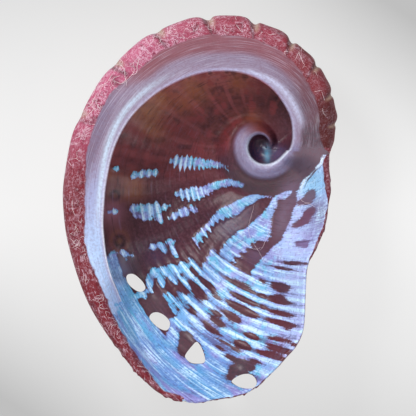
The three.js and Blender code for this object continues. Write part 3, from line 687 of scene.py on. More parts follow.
for px_, py_, pr in [(119.5, 241, 5.4), (115, 195.5, 4.6)]:
    d_ = np.hypot(X - px_, (Y - py_) * 0.85)
    dark = blend(dark, (38, 14, 16), np.exp(-((d_ - pr * 0.8) / 1.8) ** 2))
    dark = blend(dark, (132, 78, 58), np.exp(-((d_ - pr * 1.6) / 1.6) ** 2) * 0.6)
    dark = blend(dark, (116, 78, 44), np.exp(-(d_ / (pr * 0.4)) ** 2) * 0.9)
ring = (r_all - shelf_edge(U_all + 360)) * (is_f | is_c)
rb = smooth(16, 22, r_all) * (1 - smooth(44, 52, r_all)) * (1 - smooth(130, 200, th)) * is_f
dark = blend(dark, (88, 70, 74), rb)
rl = (1 - smooth(11, 16, ring)) * is_f * (1 - smooth(190, 260, th))
dark = blend(dark, (134, 128, 162), rl * 0.9)
# painted highlights: a pale line near the ring's edge and a white line along the edge itself
dark = blend(dark, (160, 152, 184), np.exp(-((ring - 10.5) / 1.5) ** 2) * is_f * smooth(60, 120, th) * (1 - smooth(190, 240, th)) * 0.7)
dark = blend(dark, (160, 156, 190), (1 - smooth(1.5, 6, ring)) * is_f * (1 - smooth(175, 240, th)) * 0.8)
dark = blend(dark, (224, 232, 252), (1 - smooth(0.8, 2.2, ring)) * is_f * (1 - smooth(190, 250, th)))
dark = blend(dark, (170, 165, 205), (1 - smooth(0.6, 2.4, ring)) * is_f * smooth(175, 240, th) * (1 - smooth(290, 330, th)) * 0.7)
# painted shade in the crease below the bead
groove = np.exp(-((ring - 16) / 2.0) ** 2) * is_f * smooth(35, 60, th) * (1 - smooth(190, 260, th))
dark = blend(dark, (72, 50, 56), groove * 0.8)
# the parietal side, where the lip starts, goes on from the shelf
par = (is_f | (is_k & (U_all < 128))) * (1 - smooth(20, 62, th)) * smooth(3, 12, r_all - shelf_edge(U_all + 360))
dark = blend(dark, (106, 90, 102), par * 0.9)
dark = blend(dark, (106, 90, 102), par * (1 - smooth(7, 26, th)))
lit_all = np.where(is_f & (th < 7.5), -2.0, lit_all)
val = is_f * np.exp(-(((X - 286 + (Y - 215) * 0.3) / 11) ** 2 + ((Y - 215) / 24) ** 2))
dark = blend(dark, (120, 104, 122), val * 1.1)
dark = blend(dark, (104, 84, 100), is_f * near(308, 199, 9) * 1.1)
dark = blend(dark, (118, 56, 76), is_f * near(306, 218, 9) * 0.8)
dark = blend(dark, (116, 96, 116), is_f * near(290, 189, 7) * 0.9)
dark = blend(dark, (112, 110, 138), is_f * near(116, 272, 9) * 1.1)
dark = blend(dark, (52, 20, 30), is_f * smooth(100, 125, Y) * (1 - smooth(235, 260, Y)) * (1 - smooth(215, 240, X)) * 0.32)
# among these patches, the dark ones at (230, 228) and (246, 214) are painted shade in the fold valleys, (240, 368) is
# painted shade by the last breathing hole, and (226, 162) is painted shade at the end of the first row
for hx, hy, hr, rgb_, hk in [(112, 212, 8, (146, 92, 112), 0.95), (156, 256, 9, (62, 52, 86), 0.5), (230, 228, 10, (56, 46, 80), 0.8), (246, 214, 8, (70, 56, 84), 0.6), (256, 256, 8, (106, 86, 110), 0.7),
                             (240, 368, 9, (66, 54, 66), 0.7), (226, 162, 9, (66, 42, 56), 0.6)]:
    dark = blend(dark, rgb_, is_f * near(hx, hy, hr) * hk)
# inside the coil: painted dark for the shade down in it, with a painted bluish glint
pit = is_c + is_f * smooth(255, 335, U_all) * (1 - smooth(9, 23, r_all) * (1 - smooth(335, 366, U_all)))
dark = blend(dark, (52, 22, 34), pit * 1.0)
dark = blend(dark, (46, 42, 78), pit * near(256, 152, 7) * 0.8)
dark = blend(dark, (84, 74, 108), pit * near(279, 155, 8) * 0.9)
dark = blend(dark, (100, 160, 190), pit * np.exp(-(((X - 267) / 3.0) ** 2 + ((Y - 154) / 8.0) ** 2)) * 0.9)

# the colour of the painted highlight on the nacre, blue with lavender and cyan tints
light = np.tile(lin((132, 170, 226)), (n, 1))
# at the lower left the hues run out in streaks along the growth lines
low = smooth(285, 320, Y) * (1 - smooth(215, 245, X))
hue = mix(fbm(X / 9.0, Y / 9.0), fbm(c_all * 38.0, U_all / 7.0), low)
light = blend(light, (146, 138, 204), smooth(0.44, 0.60, hue) * (0.7 + 0.3 * smooth(250, 290, X)))
light = blend(light, (110, 190, 226), smooth(0.50, 0.66, mix(fbm(X / 6.0 + 40, Y / 6.0 + 9), fbm(c_all * 46.0 + 40, U_all / 6.0 + 9), low)) * (0.95 - 0.55 * smooth(265, 300, X)))
light = blend(light, (190, 200, 248), smooth(256, 296, X) * 0.78)
light = blend(light, (132, 190, 238), near(313, 184, 9) * 1.1)
# painted shade: a darker purple patch in the highlight by the lip's edge
light = blend(light, (112, 98, 128), near(323, 214, 10) * 0.6)
light = blend(light, (92, 176, 226), (1 - smooth(180, 225, X)) * smooth(252, 270, Y) * (1 - smooth(305, 335, Y)) * 0.6)
light = blend(light, (92, 146, 208), smooth(310, 350, Y) * (1 - smooth(215, 255, X)) * 0.75)
light = blend(light, (150, 136, 204), smooth(0.5, 0.64, fbm(c_all * 30.0 + 21, U_all / 8.0)) * smooth(335, 360, Y) * (1 - smooth(235, 265, X)) * 0.8)
light = blend(light, (116, 112, 160), (1 - smooth(0, 22, np.hypot(X - 112, (Y - 266) * 0.7))) * 0.55)

# the shelf and the rim
W_in = np.where(U_all >= 128, curve(SHELF_EDGE, U_all), 0)
dW = r_all - W_in
Bp = curve([(113, 262), (120, 247), (130, 229), (140, 214), (150, 206), (160, 192), (170, 182), (180, 177), (190, 170.5), (200, 162.8), (210, 149), (220, 144), (230, 136), (240, 129),
            (250, 120.5), (260, 112.4), (270, 105), (280, 97), (290, 88.6), (300, 80), (310, 74), (320, 68), (330, 62), (340, 57), (350, 56), (358, 58), (366.5, 66)], U_all)
Mv = curve([(113, 262), (180, 174), (200, 158), (210, 140), (220, 132), (230, 122), (240, 112), (250, 104), (260, 98), (270, 91), (280, 83), (290, 76), (300, 69), (310, 62), (320, 56),
            (330, 52), (345, 50), (366.5, 58)], U_all)
wob = 3.0 * (fbm(X / 6.0, Y / 6.0) - 0.5)
band = np.where(is_k, (r_all - Bp + wob) / 2.0, -3.0)
band = np.where(is_b, 3.0, band)
band = np.clip(band, -3, 3)
shelf = np.tile(lin((150, 134, 158)), (n, 1))
# painted light: the shelf is paler on the left, where it lies flat
shelf = blend(shelf, (166, 172, 212), 1 - smooth(162, 180, th))
shelf = blend(shelf, (190, 216, 255), (1 - smooth(146, 166, th)))
shelf = blend(shelf, (120, 104, 130), smooth(0, 9, r_all - Mv + 12) * smooth(150, 172, th) * (1 - smooth(190, 205, th)) * 0.7)
# painted highlight: a bright band near the shelf's edge
shelf = blend(shelf, (206, 226, 248), np.exp(-((dW - mix(6, 11, smooth(165, 200, th))) / 3.0) ** 2) * smooth(150, 165, th) * (1 - smooth(196, 225, th)) * 0.9)
shelf = blend(shelf, (140, 84, 94), smooth(-7, 2, r_all - Mv) * smooth(195, 215, th) * 0.95)
# painted highlight: a bright line across the shelf
shelf = blend(shelf, (205, 208, 238), np.exp(-((r_all - curve([(225, 102), (245, 86), (270, 71), (290, 59.5), (310, 50), (330, 45)], th)) / mix(1.6, 4.2, smooth(250, 310, th))) ** 2)
              * smooth(225, 250, th) * (1 - smooth(322, 345, th)))
# painted shade: darker towards the upper right, where the shelf slopes down
shelf = blend(shelf, (94, 74, 86), smooth(322, 345, th) * smooth(6, 16, dW) * 0.9)
# painted highlights: a pale band and a white line along the shelf's edge
shelf = blend(shelf, (176, 172, 208), (1 - smooth(2.5, 6, dW)) * 0.8)
shelf = blend(shelf, (236, 240, 252), (1 - smooth(1.0, 2.8, dW)) * (1 - 0.2 * smooth(220, 300, th)) * smooth(128, 136, U_all))
# painted shade: darker towards the upper right, where the shelf slopes down
shelf = blend(shelf, (92, 68, 78), smooth(270, 320, U_all) * smooth(8, 18, dW) * is_k * 0.85)
shelf = blend(shelf, (176, 158, 150), np.exp(-((r_all - Bp + 2.5) / 1.3) ** 2) * smooth(325, 340, U_all) * (1 - smooth(358, 366, U_all)) * 0.7)
shelf = blend(shelf, (134, 128, 162), smooth(345, 364, U_all) * smooth(2, 4, dW) * (1 - smooth(9, 14, dW)) * is_k)
shelf = blend(shelf, (84, 68, 78), smooth(325, 342, U_all) * smooth(8, 14, dW) * is_k)
shelf = blend(shelf, (106, 90, 102), smooth(352, 365, U_all) * smooth(8, 14, dW) * is_k)
dark = np.where(is_k[:, None] & (U_all >= 128)[:, None], shelf, dark)
# the outer lip's border keeps the bowl's colours, with a dark red line along its edge: the red outer layer, painted
# darker for the shade on the edge
lip = is_k & (U_all < 128)
lip_lit = lit_field(X, Y, r_all, U_all, c_all)
lip_lit = np.where(th < 66, np.maximum(lip_lit, 0.9 - 1.2 * smooth(30, 40, th) * (1 - smooth(56, 64, th))), lip_lit)
lit_all = np.where(lip, lip_lit, lit_all)
for hx, hy, hr, rgb_, hk in [(309, 197, 10, (114, 106, 126), 1.0), (305, 217, 11, (112, 76, 100), 1.0), (305, 244, 9, (128, 110, 154), 1.1), (293, 218, 5, (108, 90, 104), 0.8)]:
    dark = blend(dark, rgb_, (is_f | lip) * near(hx, hy, hr) * hk)
# painted shade: darker patches in the highlight at the end of the first row and by the lip's edge
light = blend(light, (96, 74, 112), near(226, 163, 8) * 0.7)
light = blend(light, (134, 126, 164), near(316, 207, 6) * 0.9)
light = blend(light, (140, 136, 184), near(320, 224, 8) * 0.7)
light = blend(light, (158, 186, 234), near(117, 282, 8) * 0.8)
light = blend(light, (150, 140, 196), near(309, 235, 5) * 0.7)
light = blend(light, (160, 212, 250), near(313, 181, 11) * 0.8)
# nacre starts along a line that runs down from the notch, with a painted highlight just inside it and a thin line of
# painted shade beside that
start = np.interp(Y, [150, 154, 164, 171, 180, 190, 197], [328, 322.5, 318.5, 310, 302.5, 298, 295])
lit_all = np.where((is_f | lip) & (Y < 190) & (X > 280), np.minimum(lit_all, (X - start) / 1.6), lit_all)
along = (is_f | lip) * smooth(150, 158, Y) * (1 - smooth(184, 196, Y)) * (X > 285)
lit_all = lit_all - 2.4 * along * np.exp(-((X - start - 5.2) / 0.9) ** 2)
light = blend(light, (226, 242, 254), along * np.exp(-((X - start - 2.0) / 1.6) ** 2))
edge_w = curve([(6.5, 3.0), (12, 5.8), (20, 7.2), (34, 6.6), (42, 1.2), (46, 2.2), (52, 3.0), (58, 3.6), (64, 2.8), (70, 1.0), (84, 0.7), (93, 1.4), (100, 1.8), (104, 0.6), (112, -1), (124, -1), (128, 0)], U_all)
edge_d = edge_w - (outline(U_all) - r_all) + 3.0 * (fbm(X / 3.5, Y / 3.5) - 0.5)
band = np.where(lip, np.clip(np.maximum(edge_d / 1.1, np.where(U_all > 108, (r_all - Bp + wob) / 2.0, -3)), -3, 3), band)

# red outer layer: rim band and back
red = np.tile(lin((140, 48, 66)), (n, 1))
red = blend(red, (174, 82, 114), np.exp(-((th - 208) / 30) ** 2))
red = blend(red, (114, 28, 40), 1 - smooth(165, 188, th))
red = blend(red, (120, 40, 48), smooth(270, 295, th))
red = blend(red, (76, 20, 20), smooth(308, 328, th))
# painted shade: the red outer layer along the lip's edge is made darker
red = blend(red, (96, 24, 38), lip * (1 - smooth(98, 108, U_all)))
red = blend(red, (104, 34, 36), smooth(0.88, 1.0, q_all) * is_k * smooth(255, 290, th) * 0.7)
gap, crack = 0.0, np.zeros(n)
for at, deep in NOTCH:
    gap = gap + np.exp(-((th - at - 1.0) / 1.3) ** 2)
    crack = np.maximum(crack, np.exp(-((th - at + 1.2 + 1.5 * (fbm(X / 4, Y / 4) - 0.5)) / 0.8) ** 2))
gap = gap * smooth(0.8, 0.97, q_all) * is_k * smooth(180, 195, th)
crack = crack * smooth(0.5, 0.8, q_all) * is_k * smooth(180, 195, th)
red = blend(red, (70, 18, 26), crack * 0.9)
red = blend(red, (158, 132, 116), gap)
# back: red-brown with cream flames that follow old lips
fold_ph = (U_all - curve(FOLD_LINE, c_all)) / 9.3
ray = np.cos(2 * np.pi * fold_ph + 2.0 * np.sin(c_all * 3))
back = np.tile(lin((128, 58, 46)), (n, 1))
back = blend(back, (196, 176, 148), smooth(0.45, 0.95, ray + 0.8 * (fbm(X / 8.0, Y / 8.0) - 0.5)))
back = blend(back, (92, 84, 60), smooth(0.5, 0.8, fbm(X / 20.0 + 3, Y / 20.0)) * 0.6)
mb = is_b * smooth(0.02, 0.2, q_all)
red = red * (1 - mb[:, None]) + back * mb[:, None]

streak = (is_f | is_k) * smooth(3.5, 9, th) * (1 - smooth(360.5, 364.5, U_all))


# the nacre's painted highlight runs on over the shelf's tip, fading out along it
lit_all = np.where(is_k & (U_all >= 128) & (U_all < 142), np.clip((133 - U_all) / 2.0 + 3.0 * (fbm(X / 4.0, Y / 4.0) - 0.5), -3, 2), lit_all)
shelf_a = 1.0 * (is_k & (U_all >= 128)) * (1 - smooth(356, 366, U_all)) + is_f * (1 - smooth(9, 13, ring)) * (1 - smooth(190, 260, th)) * smooth(8, 16, th)
inside_a = np.where(is_b, 1.0, 1.9 + 1.1 * smooth(176, 196, th) * (1 - smooth(240, 275, th)) - 0.7 * smooth(290, 320, th))
teeth_a = is_f * (0.45 * smooth(5.0, 5.5, c_all) * (1 - smooth(6.0, 6.05, c_all)) + 0.35 * smooth(140, 155, th))


def attribute(me, name, values, kind="FLOAT"):
    a = me.attributes.new(name, kind, "POINT")
    if kind == "FLOAT":
        a.data.foreach_set("value", np.asarray(values, np.float32))
    else:
        a.data.foreach_set("color", np.c_[values, np.ones(len(values))].astype(np.float32).ravel())


me = bpy.data.meshes.new("shell_visual")
me.from_pydata(W.tolist(), [], faces)
me.validate()
me.update()
attribute(me, "lit", lit_all)
attribute(me, "band", band)
attribute(me, "cc", c_all)
attribute(me, "turns", th / 57.29578)
attribute(me, "streak", streak)
attribute(me, "teeth", teeth_a)
attribute(me, "shelf", shelf_a)
attribute(me, "dark", dark, "FLOAT_COLOR")
attribute(me, "light", light, "FLOAT_COLOR")
attribute(me, "red", red, "FLOAT_COLOR")
attribute(me, "inside", inside_a)
shell = bpy.data.objects.new("abalone", me)
bpy.context.scene.collection.objects.link(shell)
me.polygons.foreach_set("use_smooth", np.ones(len(me.polygons), bool))

# the breathing holes, cut straight down
for k, pts in enumerate(HOLES):
    P = np.array(pts + pts[:1])
    m = len(pts)
    t = np.arange(48) * m / 48.0
    i = np.floor(t).astype(int)
    f = (t - i)[:, None]
    g = [P[(i + d) % m] for d in (-1, 0, 1, 2)]
    ringp = 0.5 * (2 * g[1] + (g[2] - g[0]) * f + (2 * g[0] - 5 * g[1] + 4 * g[2] - g[3]) * f ** 2 + (3 * g[1] - g[0] - 3 * g[2] + g[3]) * f ** 3)
    xy = to_world(np.c_[ringp[:, 0] - POLE[0], POLE[1] - ringp[:, 1], np.zeros(48)])[:, :2]
    cv = [(x, y, -0.002) for x, y in xy] + [(x, y, 0.03) for x, y in xy]
    # photo y runs down, so the ring's turn is reversed in the frame
    area = sum(xy[a][0] * xy[(a + 1) % 48][1] - xy[(a + 1) % 48][0] * xy[a][1] for a in range(48))
    idx = list(range(48)) if area > 0 else list(range(47, -1, -1))
    cf = [idx[::-1], [a + 48 for a in idx]] + [(idx[a], idx[(a + 1) % 48], idx[(a + 1) % 48] + 48, idx[a] + 48) for a in range(48)]
    cm = bpy.data.meshes.new(f"cut{k}")
    cm.from_pydata(cv, [], cf)
    cm.update()
    co = bpy.data.objects.new(f"cut{k}", cm)
    bpy.context.scene.collection.objects.link(co)
    mod = shell.modifiers.new(f"hole{k}", "BOOLEAN")
    mod.operation = "DIFFERENCE"
    mod.object = co
    mod.solver = "MANIFOLD"
bpy.context.view_layer.update()
dep = bpy.context.evaluated_depsgraph_get()
cut = bpy.data.meshes.new_from_object(shell.evaluated_get(dep))
print("visual triangles before", sum(len(p.vertices) - 2 for p in me.polygons), "after", sum(len(p.vertices) - 2 for p in cut.polygons))
for mod in list(shell.modifiers):
    bpy.data.objects.remove(mod.object)
    shell.modifiers.remove(mod)
shell.data = cut
me = cut
# the points made by the cuts take what the nearest old point has
FIELDS = (("lit", lit_all), ("band", band), ("cc", c_all), ("turns", th / 57.29578), ("streak", streak), ("teeth", teeth_a), ("shelf", shelf_a),
          ("inside", inside_a), ("dark", dark), ("light", light), ("red", red))
dc = np.empty(len(me.vertices) * 4, np.float32)
me.attributes["dark"].data.foreach_get("color", dc)
made = np.nonzero(dc.reshape(-1, 4)[:, :3].min(1) > 0.999)[0]
kd = KDTree(len(W))
for i, v in enumerate(W.tolist()):
    kd.insert(v, i)
kd.balance()
for i in made.tolist():
    j = kd.find(me.vertices[i].co)[1]
    for name, values in FIELDS:
        a = me.attributes[name].data[i]
        if name in ("dark", "light", "red"):
            a.color = (*[float(q) for q in values[j]], 1.0)
        elif name == "lit":
            a.value = min(float(values[j]), -0.6)
        else:
            a.value = float(values[j])


# ---- materials ----------------------------------------------------------------------------
class Nodes:
    def __init__(self, name):
        self.mat = bpy.data.materials.new(name)
        self.mat.use_nodes = True
        self.t = self.mat.node_tree
        self.t.nodes.clear()

    def new(self, kind, **props):
        nd = self.t.nodes.new(kind)
        for k, v in props.items():
            setattr(nd, k, v)
        return nd

    def link(self, a, b):
        if hasattr(a, "outputs"):
            a = a.outputs[0]
        if isinstance(a, bpy.types.NodeSocket):
            self.t.links.new(a, b)
        else:
            b.default_value = a

    def math(self, op, a, b=0.0, c=None, cl=False):
        nd = self.new("ShaderNodeMath", operation=op, use_clamp=cl)
        self.link(a, nd.inputs[0])
        self.link(b, nd.inputs[1])
        if c is not None:
            self.link(c, nd.inputs[2])
        return nd.outputs[0]

    def step(self, x, lo, hi, a=0.0, b=1.0):
        nd = self.new("ShaderNodeMapRange", interpolation_type="SMOOTHSTEP")
        self.link(x, nd.inputs[0])
        for s, v in zip(nd.inputs[1:5], (lo, hi, a, b)):
            s.default_value = v
        return nd.outputs[0]

    def mixc(self, f, a, b, mode="MIX"):
        nd = self.new("ShaderNodeMix", data_type="RGBA", blend_type=mode)
        self.link(f, nd.inputs[0])
        self.link(a, nd.inputs[6])
        self.link(b, nd.inputs[7])
        return nd.outputs[2]

    def attr(self, name, out="Fac"):
        nd = self.new("ShaderNodeAttribute", attribute_name=name)
        return nd.outputs[out]

    def noise(self, vec, scale, detail=3.0, rough=0.55):
        nd = self.new("ShaderNodeTexNoise")
        if vec is not None:
            self.link(vec, nd.inputs["Vector"])
        nd.inputs["Scale"].default_value = scale
        nd.inputs["Detail"].default_value = detail
        nd.inputs["Roughness"].default_value = rough
        return nd.outputs["Fac"]

    def vec(self, x, y, z=0.0):
        nd = self.new("ShaderNodeCombineXYZ")
        self.link(x, nd.inputs[0])
        self.link(y, nd.inputs[1])
        self.link(z, nd.inputs[2])
        return nd.outputs[0]


def rgba(rgb):
    return (*[float(v) for v in lin(rgb)], 1.0)


def shell_material():
    N = Nodes("nacre_and_red_layer")
    obj = N.new("ShaderNodeTexCoord").outputs["Object"]
    cc, turns, lit, bandf, streakf = [N.attr(a) for a in ("cc", "turns", "lit", "band", "streak")]
    dk, lt, rd = [N.attr(a, "Color") for a in ("dark", "light", "red")]
    # lines along the growth spiral
    fine = N.noise(N.vec(N.math("MULTIPLY", cc, 46.0), N.math("MULTIPLY", turns, 4.0)), 1.0, 3.0, 0.65)
    fine2 = N.noise(N.vec(N.math("MULTIPLY", cc, 130.0), N.math("MULTIPLY", turns, 12.0)), 1.0, 2.0, 0.5)
    broad = N.noise(N.vec(N.math("MULTIPLY", cc, 12.0), N.math("MULTIPLY", turns, 1.1)), 1.0, 2.0, 0.5)
    grain = N.noise(obj, 2600.0, 3.0, 0.6)
    cloud = N.noise(obj, 420.0, 3.0, 0.55)
    wave = N.math("COSINE", N.math("MULTIPLY", N.math("SUBTRACT", cc, 5.5), 2 * math.pi / 0.0634))
    fine_c = N.math("MULTIPLY", N.math("SUBTRACT", fine, 0.5), streakf)
    # painted highlight on the nacre against its own dark colour
    ripple = N.step(cc, 5.0, 5.5)
    teeth = N.attr("teeth")
    l2 = N.math("ADD", lit, N.math("MULTIPLY", N.math("SUBTRACT", cloud, 0.5), 1.2))
    l2 = N.math("ADD", l2, N.math("MULTIPLY", fine_c, 3.0))
    l2 = N.math("ADD", l2, N.math("MULTIPLY", N.math("MULTIPLY", N.math("SUBTRACT", fine2, 0.5), streakf), 1.6))
    l2 = N.math("ADD", l2, N.math("MULTIPLY", N.math("SUBTRACT", wave, 0.1), teeth))
    l2 = N.math("ADD", l2, N.math("MULTIPLY", N.math("SUBTRACT", grain, 0.5), 1.3))
    highlight_mask = N.step(l2, -0.35, 0.5)
    far = N.step(cc, 5.98, 6.06)
    near_c = N.math("SUBTRACT", 1.0, far)
    v = N.math("ADD", 0.44, N.math("MULTIPLY", N.math("MULTIPLY", N.math("MULTIPLY", wave, ripple), near_c), 0.27))
    v = N.math("ADD", v, N.math("MULTIPLY", fine_c, N.math("SUBTRACT", 1.35, N.math("MULTIPLY", far, 0.5))))
    hair = N.noise(N.vec(N.math("MULTIPLY", cc, 170.0), N.math("MULTIPLY", turns, 3.0)), 1.0, 3.0, 0.6)
    v = N.math("ADD", v, N.math("MULTIPLY", N.math("SUBTRACT", hair, 0.5), N.math("ADD", 0.5, N.math("MULTIPLY", far, 0.9))))
    v = N.math("ADD", v, N.math("MULTIPLY", N.math("SUBTRACT", fine2, 0.5), 0.9))
    v = N.math("ADD", v, N.math("MULTIPLY", N.math("SUBTRACT", broad, 0.5), 0.45))
    v = N.math("ADD", v, N.math("MULTIPLY", N.math("SUBTRACT", cloud, 0.5), 0.5))
    v = N.math("ADD", v, N.math("MULTIPLY", N.math("SUBTRACT", grain, 0.5), 0.5))
    v = N.math("ADD", v, N.math("MULTIPLY", N.step(l2, 0.2, 1.6, -0.16, 0.1), 1.0))
    # painted highlight colours: darker purple where v is low, white painted highlights on the cords' tops where it is
    # high
    bright = N.mixc(N.step(v, 0.02, 0.36), N.mixc(0.35, rgba((84, 64, 110)), lt), lt)
    bright = N.mixc(N.step(v, 0.47, 0.96), bright, rgba((202, 233, 255)))
    bright = N.mixc(N.math("MULTIPLY", N.step(grain, 0.46, 0.34), 0.35), bright, rgba((70, 72, 124)))
    darker = N.mixc(N.step(grain, 0.35, 0.75), dk, N.mixc(0.35, dk, rgba((120, 70, 84))))
    darker = N.mixc(N.math("MULTIPLY", N.step(fine_c, 0.06, 0.3), 0.3), darker, rgba((140, 116, 150)))
    onshelf = N.attr("shelf")
    offshelf = N.math("SUBTRACT", 1.0, onshelf)
    darker = N.mixc(N.math("MULTIPLY", N.step(fine_c, -0.04, -0.24), N.math("MULTIPLY", offshelf, 0.6)), darker, rgba((40, 18, 30)))
    darker = N.mixc(N.math("MULTIPLY", N.step(hair, 0.50, 0.68), N.math("MULTIPLY", onshelf, 0.45)), darker, N.mixc(0.6, dk, rgba((224, 224, 246))))
    darker = N.mixc(N.math("MULTIPLY", N.step(hair, 0.48, 0.30), N.math("MULTIPLY", onshelf, 0.55)), darker, N.mixc(0.5, dk, rgba((70, 48, 64))))
    nacre = N.mixc(highlight_mask, darker, bright)
    # red outer layer: flecked, with paler specks and dark pores
    speck = N.noise(obj, 1500.0, 4.0, 0.65)
    blot = N.noise(obj, 650.0, 3.0, 0.6)
    pale = N.mixc(0.25, rgba((232, 204, 222)), rd)
    thread = N.noise(N.vec(N.math("MULTIPLY", cc, 150.0), N.math("MULTIPLY", turns, 26.0)), 1.0, 3.0, 0.75)
    warp = N.new("ShaderNodeVectorMath", operation="ADD")
    wn = N.new("ShaderNodeTexNoise")
    wn.inputs["Scale"].default_value = 500.0
    N.link(obj, wn.inputs["Vector"])
    ws = N.new("ShaderNodeVectorMath", operation="SCALE")
    N.link(wn.outputs["Color"], ws.inputs[0])
    ws.inputs["Scale"].default_value = 0.0016
    N.link(obj, warp.inputs[0])
    N.link(ws.outputs[0], warp.inputs[1])
    fuzz = N.noise(warp.outputs[0], 2300.0, 2.0, 0.6)
    vein = N.math("ABSOLUTE", N.math("SUBTRACT", fuzz, 0.5))
    inner = N.attr("inside")
    few = N.step(inner, 1.5, 1.9, 0.3, 1.0)
    redc = N.mixc(N.math("MULTIPLY", N.step(speck, 0.52, 0.70), few), rd, N.mixc(0.45, rd, pale))
    redc = N.mixc(N.step(blot, 0.46, 0.33), redc, N.mixc(0.6, redc, rgba((84, 20, 32))))
    redc = N.mixc(N.math("MULTIPLY", N.step(vein, 0.035, 0.012), N.math("MULTIPLY", N.step(cloud, 0.36, 0.60), N.step(inner, 1.5, 3.0, 0.2, 0.95))), redc, pale)
    redc = N.mixc(N.math("MULTIPLY", N.math("MULTIPLY", N.step(thread, 0.56, 0.64), 0.55), few), redc, pale)
    redc = N.mixc(N.math("MULTIPLY", N.step(grain, 0.66, 0.78), few), redc, pale)
    redc = N.mixc(N.step(fuzz, 0.38, 0.28), redc, N.mixc(0.55, redc, rgba((90, 20, 40))))
    b2 = N.math("ADD", bandf, N.math("MULTIPLY", N.math("SUBTRACT", cloud, 0.5), 1.5))
    redm = N.step(b2, -0.5, 0.5)
    color = N.mixc(redm, nacre, redc)
    height = N.math("ADD", N.math("MULTIPLY", fine_c, 0.5), N.math("MULTIPLY", grain, 0.12))
    height = N.math("ADD", height, N.math("MULTIPLY", redm, N.math("MULTIPLY", speck, 1.4)))
    bump = N.new("ShaderNodeBump")
    bump.inputs["Strength"].default_value = 0.35
    bump.inputs["Distance"].default_value = 0.00025
    N.link(height, bump.inputs["Height"])
    b = N.new("ShaderNodeBsdfPrincipled")
    N.link(color, b.inputs["Base Color"])
    N.link(N.math("ADD", N.math("MULTIPLY", redm, 0.28), N.math("ADD", 0.30, N.math("MULTIPLY", grain, 0.12))), b.inputs["Roughness"])
    N.link(bump.outputs[0], b.inputs["Normal"])
    b.inputs["IOR"].default_value = 1.52
    b.inputs["Specular IOR Level"].default_value = 0.25
    out = N.new("ShaderNodeOutputMaterial")
    N.link(b.outputs[0], out.inputs[0])
    return N.mat


me.materials.clear()
me.materials.append(shell_material())
for p in me.polygons:
    p.material_index = 0
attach(shell, "root")
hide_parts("shell")

# ---- lint: loose fibres that lie on the rim and the lip ------------------------------------
tree = BVHTree.FromPolygons([Vector(v) for v in W.tolist()], [tuple(f) for f in faces])
SPAN = [  # from, to (photo pixels), curl, how thick (pixels)
    (130, 75, 137, 58, 5, 0.30), (119, 65, 125, 86, -4, 0.30), (124, 84, 134, 62, 3, 0.26), (113, 82, 128, 77, 3, 0.26), (237, 24, 243, 31, 2, 0.26),
    (300, 50, 306, 64, 3, 0.24), (86, 108, 97, 92, 2, 0.24), (92, 97, 104, 80, -3, 0.24), (97, 88, 112, 74, 2, 0.24), (88, 116, 93, 100, 2, 0.22),
    (83, 320, 91, 335, 2, 0.28), (86, 314, 98, 322, -2, 0.28), (92, 329, 103, 350, 4, 0.30), (98, 322, 104, 341, -3, 0.24), (103, 345, 117, 362, 3, 0.28),
    (108, 340, 112, 360, 3, 0.24), (116, 356, 132, 378, -4, 0.28), (122, 366, 139, 386, 3, 0.26), (128, 374, 143, 392, 3, 0.26), (136, 378, 150, 396, -3, 0.24),
    (95, 341, 108, 352, 3, 0.22), (112, 366, 127, 371, 2, 0.22), (70, 238, 80, 244, 2, 0.22), (66, 150, 71, 166, 2, 0.22), (72, 200, 75, 216, 1, 0.2),
    (258, 250, 268, 228, 4, 0.18), (236, 236, 262, 247, 5, 0.16), (252, 204, 262, 262, 6, 0.14), (300, 196, 316, 206, 3, 0.18), (296, 209, 311, 204, -3, 0.16),
]
_lr = np.random.RandomState(31)
for _ in range(120):
    a_ = math.radians(_lr.choice([_lr.uniform(116, 160), _lr.uniform(180, 240), _lr.uniform(128, 330)]))
    e_ = float(outline(np.float64(math.degrees(a_)))) - _lr.uniform(3, 17)
    x_, y_ = POLE[0] + e_ * math.cos(a_), POLE[1] + e_ * math.sin(a_)
    d_, l_ = _lr.uniform(0, 2 * math.pi), _lr.uniform(4, 10)
    SPAN.append((x_, y_, x_ + l_ * math.cos(d_), y_ + l_ * math.sin(d_), _lr.uniform(-3, 3), _lr.uniform(0.12, 0.2)))


def drop(px, py):
    """Height of the shell's upper face under a photo pixel, in metres."""
    w = to_world(np.array([[px - POLE[0], POLE[1] - py, 0.0]]))[0]
    hit = tree.ray_cast(Vector((w[0], w[1], 0.05)), Vector((0, 0, -1)))
    return w[0], w[1], (hit[0].z if hit[0] is not None else None)


